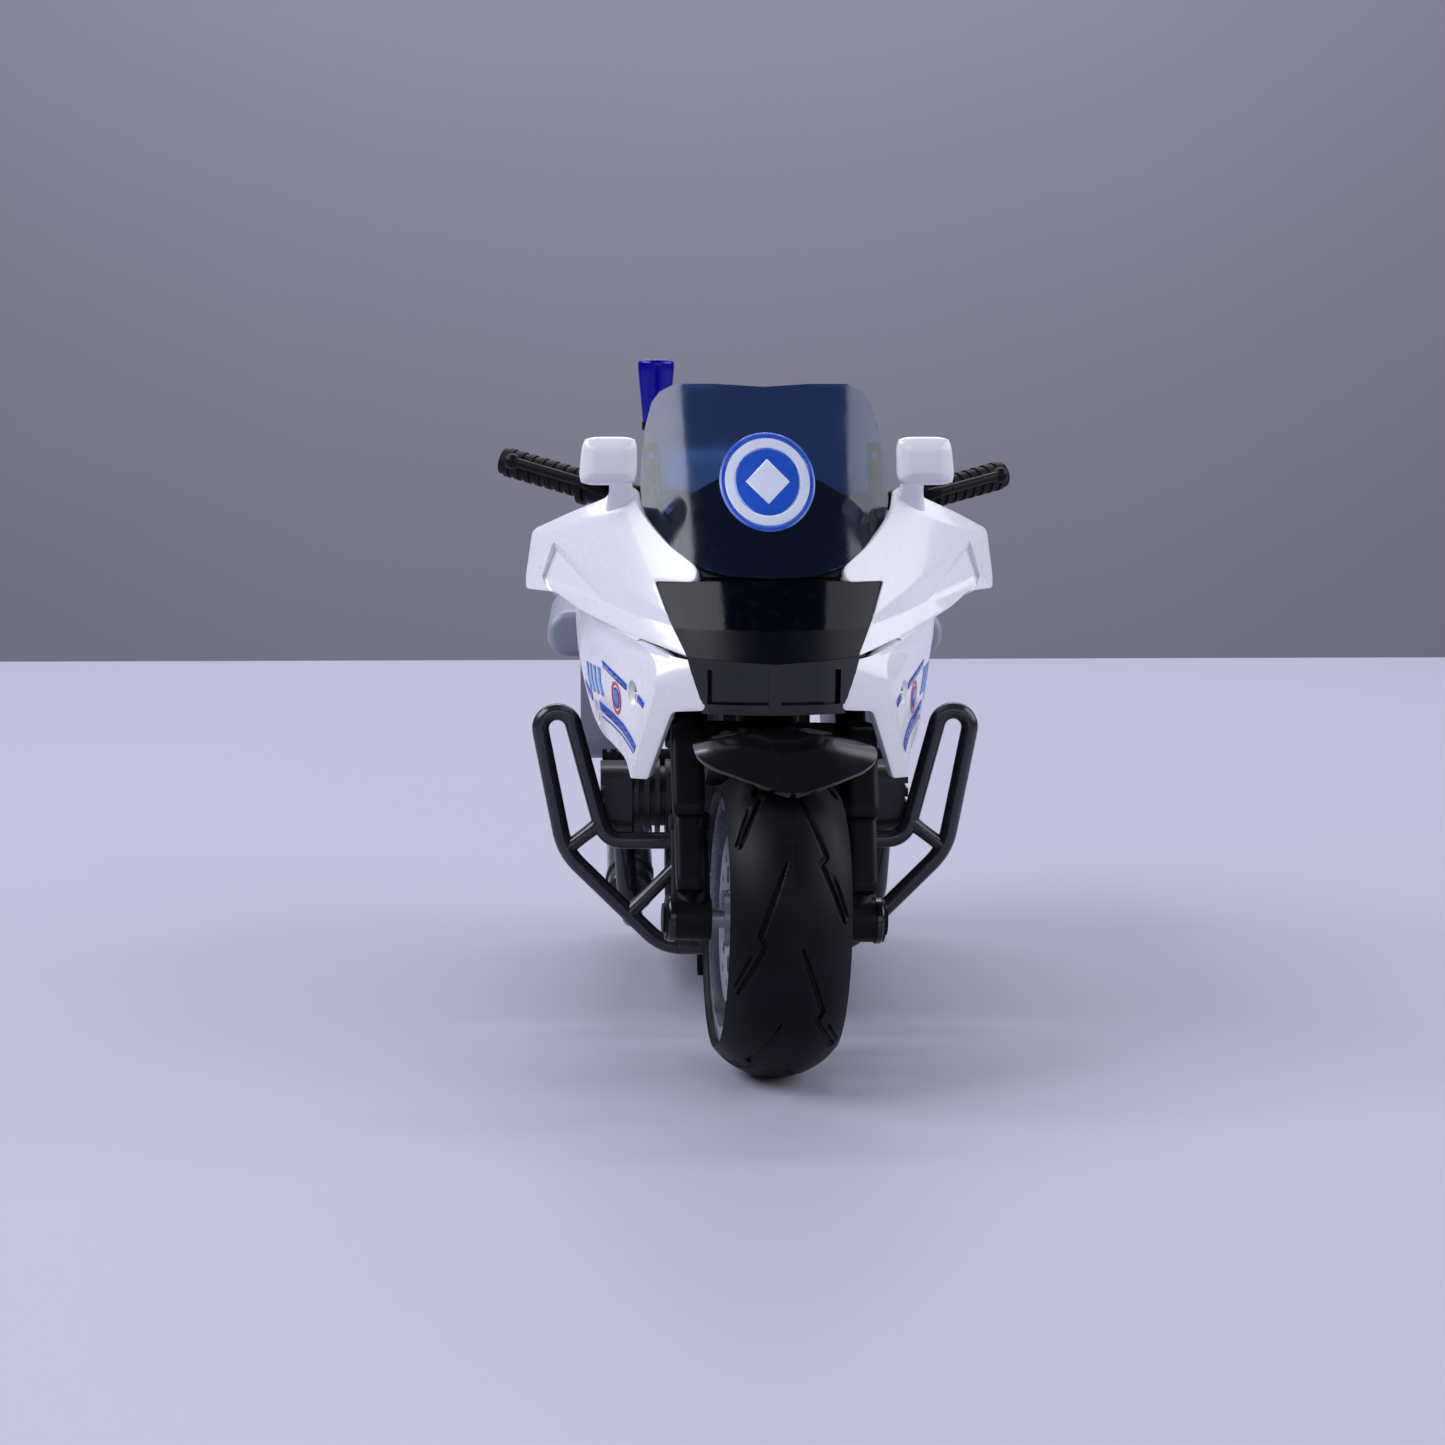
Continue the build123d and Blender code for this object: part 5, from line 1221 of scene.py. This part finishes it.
    @staticmethod
    def band(line: Sequence[Sequence[float]], widths: Sequence[float]) -> Array:
        """The outline of a band of changing width round a centre line."""
        p = np.asarray(line, float)
        d = np.gradient(p, axis=0)
        n = np.c_[-d[:, 1], d[:, 0]] / np.linalg.norm(d, axis=1)[:, None]
        w = np.asarray(widths, float)[:, None] / 2
        return np.vstack([p + n * w, (p - n * w)[::-1]])

    @staticmethod
    def ring(y: float, z: float, radius: float, count: int = 48) -> Array:
        """A circle's points."""
        a = np.arange(count) * 2 * np.pi / count
        return np.c_[y + radius * np.cos(a), z + radius * np.sin(a)]

    def prints(self) -> list[tuple[str, Surface, Finishes]]:
        """The printed stripes, bars and round mark."""
        blue, red = Finishes.PRINT_BLUE, Finishes.PRINT_RED
        flat = [
            ("stripe_upper_front", self.band([(8.6, 58.9), (10.2, 59.4), (11.7, 59.8)], (1.1, 1.15, 1.2)), [], blue),
            ("stripe_upper", self.band([(17.2, 61.0), (21, 61.9), (26, 63.0), (29.5, 63.8)], (1.2, 1.25, 1.3, 1.3)),
             [], blue),
            ("stripe_lower", self.band([(10.2, 51.7), (14, 52.7), (20, 54.1), (27, 55.1), (32, 55.6), (36.8, 56.0)],
                                       (1.1, 1.35, 1.5, 1.6, 1.6, 1.6)), [], blue),
            ("stripe_lower_rear", self.band([(43.6, 56.8), (48, 57.5), (51, 58.6)], (1.6, 1.7, 1.3)), [], blue),
            ("stripe_line", self.band([(11, 50.9), (20, 52.7), (28, 53.7), (36, 54.2)], (0.28,) * 4), [], blue),
            ("mark_ring", self.ring(23.4, 58.6, 2.75), [self.ring(23.4, 58.6, 2.25)], red),
            ("mark_disc", self.ring(23.4, 58.6, 1.8), [], blue),
        ]
        for i in range(4):
            y = 32.0 + i * 3.6
            bar = np.array([(y, 58.0), (y + 1.9, 58.0), (y + 3.1, 60.4), (y + 1.9, 62.9), (y, 62.9), (y + 1.2, 60.4)])
            flat.append((f"chevron_{i + 1}", bar, [], Finishes.PRINT_SKY))
        return [(name, self.drape(outline, holes, 0.12), finish) for name, outline, holes, finish in flat]

    def pieces(self) -> list[Piece]:
        """The skin, its screw wells and its prints."""
        w, turn = self.side.word, self.side.turn
        out = [Piece(f"fairing_skin_{w}", turn(self.skin()), Finishes.WHITE, Body.CHASSIS, "white_shell",
                     (f"fairing_side_{w}",), self.wall, 0.2, 22, bevel_deg=40)]
        for i, (reach, z) in enumerate(self.wells):
            out.append(Piece(f"screw_well_{i + 1}_{w}", turn(self.well(reach, z)), Finishes.WHITE, Body.CHASSIS,
                             "white_shell", thickness=0.3, sharp_deg=40))
        for name, surface, finish in self.prints():
            out.append(Piece(f"{name}_{w}", turn(surface), finish, Body.CHASSIS, "lamp_blue", thickness=0.05,
                             sharp_deg=60))
        return out


@dataclass
class RollBars(Assembly):
    """The engine bars of one side: a looped tube and two braces."""

    side: Side
    plane_reach: float = 52.4
    tube_radius: float = 1.5
    inner_leg: tuple[tuple[float, float], ...] = ((11.8, 30.2), (26.6, 30.2), (32.16, 51.0))
    outer_leg: tuple[tuple[float, float], ...] = ((37.9, 49.6), (33.8, 28.4), (16.4, 11.2), (8.7, 11.2))
    bend_centre: tuple[float, float] = (35.02, 50.25)
    bend_radius: float = 2.95
    reach: float = 3.6
    braces: tuple[tuple[tuple[float, float], ...], ...] = (((33.4, 28.9), (27.7, 33.2)), ((22.4, 17.2), (12.6, 27.0)))
    brace_radius: float = 1.24
    brace_flare: float = 0.32

    def pieces(self) -> list[Piece]:
        """The loop and its braces, as tubes along rounded paths: a brace's radius grows at both ends
        as flare * exp(-s / 0.13)."""
        y = self.at.front_axle_y + self.plane_reach
        turn = np.radians(np.linspace(160, -9, 24))
        bend = np.c_[np.cos(turn), np.full(24, y), np.sin(turn)] * (self.bend_radius, 1, self.bend_radius)
        bend += (self.bend_centre[0], 0, self.bend_centre[1])
        legs = [rounded([(x, y, z) for x, z in leg], self.reach, 10, closed=False)
                for leg in (self.inner_leg, self.outer_leg)]
        surface = tube(even_path(np.vstack([legs[0], bend, legs[1]]), 260), self.tube_radius, 28)
        s = np.linspace(0, 1, 24)
        radius = self.brace_radius + self.brace_flare * (np.exp(-s / 0.13) + np.exp(-(1 - s) / 0.13))
        for (xa, za), (xb, zb) in self.braces:
            surface = surface + tube(np.linspace((xa, y, za), (xb, y, zb), 24), radius, 24)
        w = self.side.word
        return [Piece(f"roll_bar_{w}", self.side.turn(surface), Finishes.GUNMETAL, Body.CHASSIS, "gunmetal",
                      (f"crash_bar_{w}",), sharp_deg=60)]


@dataclass
class ForkCover(Assembly):
    """A flat-faced cover in front of a fork leg, stepped half way down, and the axle's end cap."""

    side: Side
    centre_x: float = 14.1
    splay: float = 0.012
    blocks: tuple[tuple[float, float, float, float], ...] = ((3.4, 16.2, 4.5, 3.9), (15.6, 31.0, 5.2, 4.4))
    block_depth: float = 3.0
    cap_profile: tuple[tuple[float, float], ...] = ((16.2, 3.75), (17.0, 3.75), (17.35, 3.5), (17.5, 3.1), (17.5, 2.5),
                                                    (17.2, 2.2), (17.2, 0.05))
    around: int = 40

    def pieces(self) -> list[Piece]:
        """The cover, one block over another along the fork, and the cap as its profile turned about the axle."""
        axis = self.at.steer_axis
        foot = np.array([0.0, self.at.front_axle_y, self.at.axle_z])
        ahead = np.array([0.0, -axis[2], axis[1]])
        parts = Surface(np.zeros((0, 3)), [])
        for low, high, width, out in self.blocks:
            box = rounded_box((width, self.block_depth, high - low), 0.55, 7.0, 14)
            p = box.points
            along = p[:, 2] + (high + low) / 2
            place = foot + along[:, None] * axis + ahead * (out - p[:, 1])[:, None]
            place[:, 0] += p[:, 0] + self.centre_x + self.splay * (along - 20)
            parts = parts + Surface(place, [box.faces[0]])
        turn = np.arange(self.around) * 2 * np.pi / self.around
        x, r = np.array(self.cap_profile).T[:, :, None]
        y, z = self.at.front_axle_y + r * np.cos(turn), self.at.axle_z + r * np.sin(turn)
        cap = grid_surface(x, y, z, wrap_columns=True).turned_outward((1, 0, 0))
        w = self.side.word
        parts, cap = (self.side.turn(part).moved(self.at.steer) for part in (parts, cap))
        return [
            Piece(f"fork_cover_{w}", parts, Finishes.BLACK, Body.STEERING, "black_plastic", weld=0.01, sharp_deg=45),
            Piece(f"axle_cap_{w}", cap, Finishes.BLACK_GLOSS, Body.STEERING, "black_gloss", sharp_deg=35),
        ]


# ---------------------------------------------------------------------------------------------
# dressing the CAD nodes
# ---------------------------------------------------------------------------------------------
NODE_WELD_MM = 0.002
NODE_SPLIT_DEG = 28.0
NODE_FINISH: dict[Finishes, tuple[str, ...]] = {
    Finishes.WHITE: ("fairing_upper_left", "fairing_upper_right", "fairing_side_left", "fairing_side_right",
                     "fuel_tank", "tail_cowl", "radio_box"),
    # The panniers get the darkened white: painted shade on white plastic.
    Finishes.WHITE_BOX: ("pannier_left", "pannier_right"),
    Finishes.BLACK: ("frame_chassis", "gear_plate", "gear_cover", "swingarm_right", "fork_leg_left",
                     "fork_leg_right", "triple_clamp", "handlebar", "lever_left", "lever_right",
                     "centre_stand", "cockpit_cowl", "rear_fender", "footrests", "lamp_pole"),
    Finishes.BLACK_GLOSS: ("front_fender", "nose_grille"),
    Finishes.GUNMETAL: ("crash_bar_left", "crash_bar_right", "exhaust_headers", "muffler_left", "muffler_right"),
    Finishes.ENGINE: ("engine_block", "cylinder_left", "cylinder_right", "engine_cover_left",
                      "engine_cover_right", "motor_case_left", "motor_case_right"),
    Finishes.RUBBER: ("front_tyre", "rear_tyre"),
    Finishes.RIM: ("front_rim", "rear_rim"),
    Finishes.STEEL: ("front_discs", "front_axle", "rear_axle", "stand_pin"),
    Finishes.CHROME: ("body_screws",),
    Finishes.SMOKED: ("windscreen",),
    Finishes.LENS: ("headlight_lens",),
    Finishes.REFLECTOR: ("headlight_reflector",),
    Finishes.MIRROR: ("mirror_glass",),
    Finishes.LAMP_BLUE: ("beacon_lens",),
    Finishes.LAMP_RED: ("tail_lamp",),
    Finishes.GEAR: ("axle_gear", "idler_gear", "barrel_gear"),
    Finishes.SPRING: ("mainspring",),
    Finishes.SEAT: ("seat",),
    Finishes.GRIP: ("grip_left", "grip_right"),
}


def dress_nodes(nodes: dict[str, bpy.types.Object]) -> None:
    """Gives every CAD node its finish and smooth shading with crisp edges.

    Args:
        nodes: the CAD objects by name.
    """
    for finish, names in NODE_FINISH.items():
        for name in names:
            obj = nodes[name]
            obj.data.materials.clear()
            obj.data.materials.append(material(finish))
            obj.data.polygons.foreach_set("use_smooth", np.ones(len(obj.data.polygons), bool))
            weld = obj.modifiers.new("weld", "WELD")
            weld.merge_threshold = NODE_WELD_MM * MM
            split = obj.modifiers.new("edges", "EDGE_SPLIT")
            split.split_angle = math.radians(NODE_SPLIT_DEG)
            LOG.info("%s: %s", name, finish.value.name)
    missing = set(nodes) - {n for names in NODE_FINISH.values() for n in names}
    if missing:
        raise ValueError(f"no finish for {sorted(missing)}")


# ---------------------------------------------------------------------------------------------
# studio
# ---------------------------------------------------------------------------------------------
@dataclass(frozen=True)
class Studio:
    """Floor, backdrop, lamps and camera, in metres."""

    camera_at: tuple[float, float, float] = (-0.029008, -0.538772, 0.109984)
    yaw_deg: float = 2.510
    pitch_deg: float = 6.3505
    roll_deg: float = 0.052
    lens_mm: float = 50.0
    sensor_mm: float = 24.0
    floor_colour: Colour = (0.44, 0.435, 0.55)
    wall_colour: Colour = (0.36, 0.35, 0.44)
    lamp_colour: Colour = (0.93, 0.94, 1.0)
    surround: Colour = (0.62, 0.63, 0.72)
    surround_strength: float = 0.09
    lamps: tuple[tuple, ...] = (
        ("soft_left", (-0.78, -0.14, 0.74), (0, -0.02, 0.05), (1.0, 0.5), 10.5),
        ("soft_right", (1.02, -0.12, 0.62), (0, -0.02, 0.05), (1.4, 0.8), 11.0),
        ("soft_front", (0.15, -1.35, 0.42), (0, 0, 0.05), (1.5, 0.5), 3.0),
        ("soft_back", (0.0, 0.75, 0.75), (0, 0, 0.05), (1.4, 0.5), 4.0),
        ("wall_wash", (0.0, 1.1, 1.6), (0, 1.9, 0.2), (1.2, 0.3), 20.0),
    )

    def camera(self) -> None:
        """The camera, at the viewpoint the toy was set up for."""
        yaw, pitch = math.radians(self.yaw_deg), math.radians(self.pitch_deg)
        ahead = Vector((math.sin(yaw) * math.cos(pitch), math.cos(yaw) * math.cos(pitch), -math.sin(pitch)))
        data = bpy.data.cameras.new("camera")
        data.lens, data.sensor_width, data.sensor_fit = self.lens_mm, self.sensor_mm, "HORIZONTAL"
        data.clip_start, data.clip_end = 0.01, 20.0
        obj = bpy.data.objects.new("camera", data)
        bpy.context.scene.collection.objects.link(obj)
        turn = ahead.to_track_quat("-Z", "Y").to_matrix() @ Matrix.Rotation(math.radians(self.roll_deg), 3, "Z")
        obj.matrix_world = Matrix.Translation(self.camera_at) @ turn.to_4x4()
        bpy.context.scene.camera = obj

    def _plane(self, name: str, corners: Sequence[Sequence[float]], colour: Colour, rough: float) -> None:
        mesh = bpy.data.meshes.new(name)
        mesh.from_pydata([tuple(c) for c in corners], [], [tuple(range(len(corners)))])
        obj = bpy.data.objects.new(name, mesh)
        bpy.context.scene.collection.objects.link(obj)
        g = Graph(name)
        cloud = g.noise(160.0, 2.0, 0.5)
        g.feed(g.shader.inputs["Base Color"], g.mix(cloud, tuple(c * 0.97 for c in colour), colour))
        g.shader.inputs["Roughness"].default_value = rough
        mesh.materials.append(g.material)

    def stage(self) -> None:
        """A pale table top and a plain wall behind it."""
        self._plane("floor", [(-1.6, -1.3, 0), (1.6, -1.3, 0), (1.6, 0.68, 0), (-1.6, 0.68, 0)],
                    self.floor_colour, 0.42)
        self._plane("wall", [(-2.5, 1.9, -1.5), (2.5, 1.9, -1.5), (2.5, 1.9, 2.5), (-2.5, 1.9, 2.5)],
                    self.wall_colour, 0.9)

    def _lamp(self, name: str, at: Sequence[float], aim: Sequence[float], size: tuple[float, float], watts: float,
              colour: Colour) -> None:
        data = bpy.data.lights.new(name, "AREA")
        data.shape, data.size, data.size_y = "RECTANGLE", *size
        data.energy, data.color = watts, colour
        obj = bpy.data.objects.new(name, data)
        bpy.context.scene.collection.objects.link(obj)
        way = Vector(aim) - Vector(at)
        obj.matrix_world = Matrix.Translation(at) @ way.to_track_quat("-Z", "Y").to_matrix().to_4x4()

    def lights(self) -> None:
        """Two large side lamps, one in front, one behind, one on the wall, and a faint even surround."""
        for name, at, aim, size, watts in self.lamps:
            self._lamp(name, at, aim, size, watts, self.lamp_colour)
        world = bpy.data.worlds.new("surround")
        world.use_nodes = True
        sky = world.node_tree.nodes["Background"].inputs
        sky["Color"].default_value = (*self.surround, 1)
        sky["Strength"].default_value = self.surround_strength
        bpy.context.scene.world = world

    def build(self) -> None:
        """Everything round the toy."""
        self.camera()
        self.stage()
        self.lights()
        view = bpy.context.scene.view_settings
        view.view_transform = "Standard"
        view.look = "None"


def main() -> None:
    """Loads the frame, dresses it, adds the new pieces and the studio."""
    logging.basicConfig(level=logging.INFO, format="%(message)s")
    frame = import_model()
    at = Layout.read(frame)
    Studio().build()
    dress_nodes(frame["nodes"])
    groups: list[Assembly] = [
        Tyre(at, at.front_axle_y, 19.0, Body.FRONT_WHEEL, "front_tyre", True),
        Tyre(at, at.rear_axle_y, 21.0, Body.REAR_WHEEL, "rear_tyre", False),
        Fender(at),
        ScreenBadge(at),
    ]
    for side in Side:
        groups += [kind(at, side) for kind in (UpperFairing, SideFairing, RollBars, ForkCover)]
    for group in groups:
        group.build()


if __name__ == "__main__":
    main()
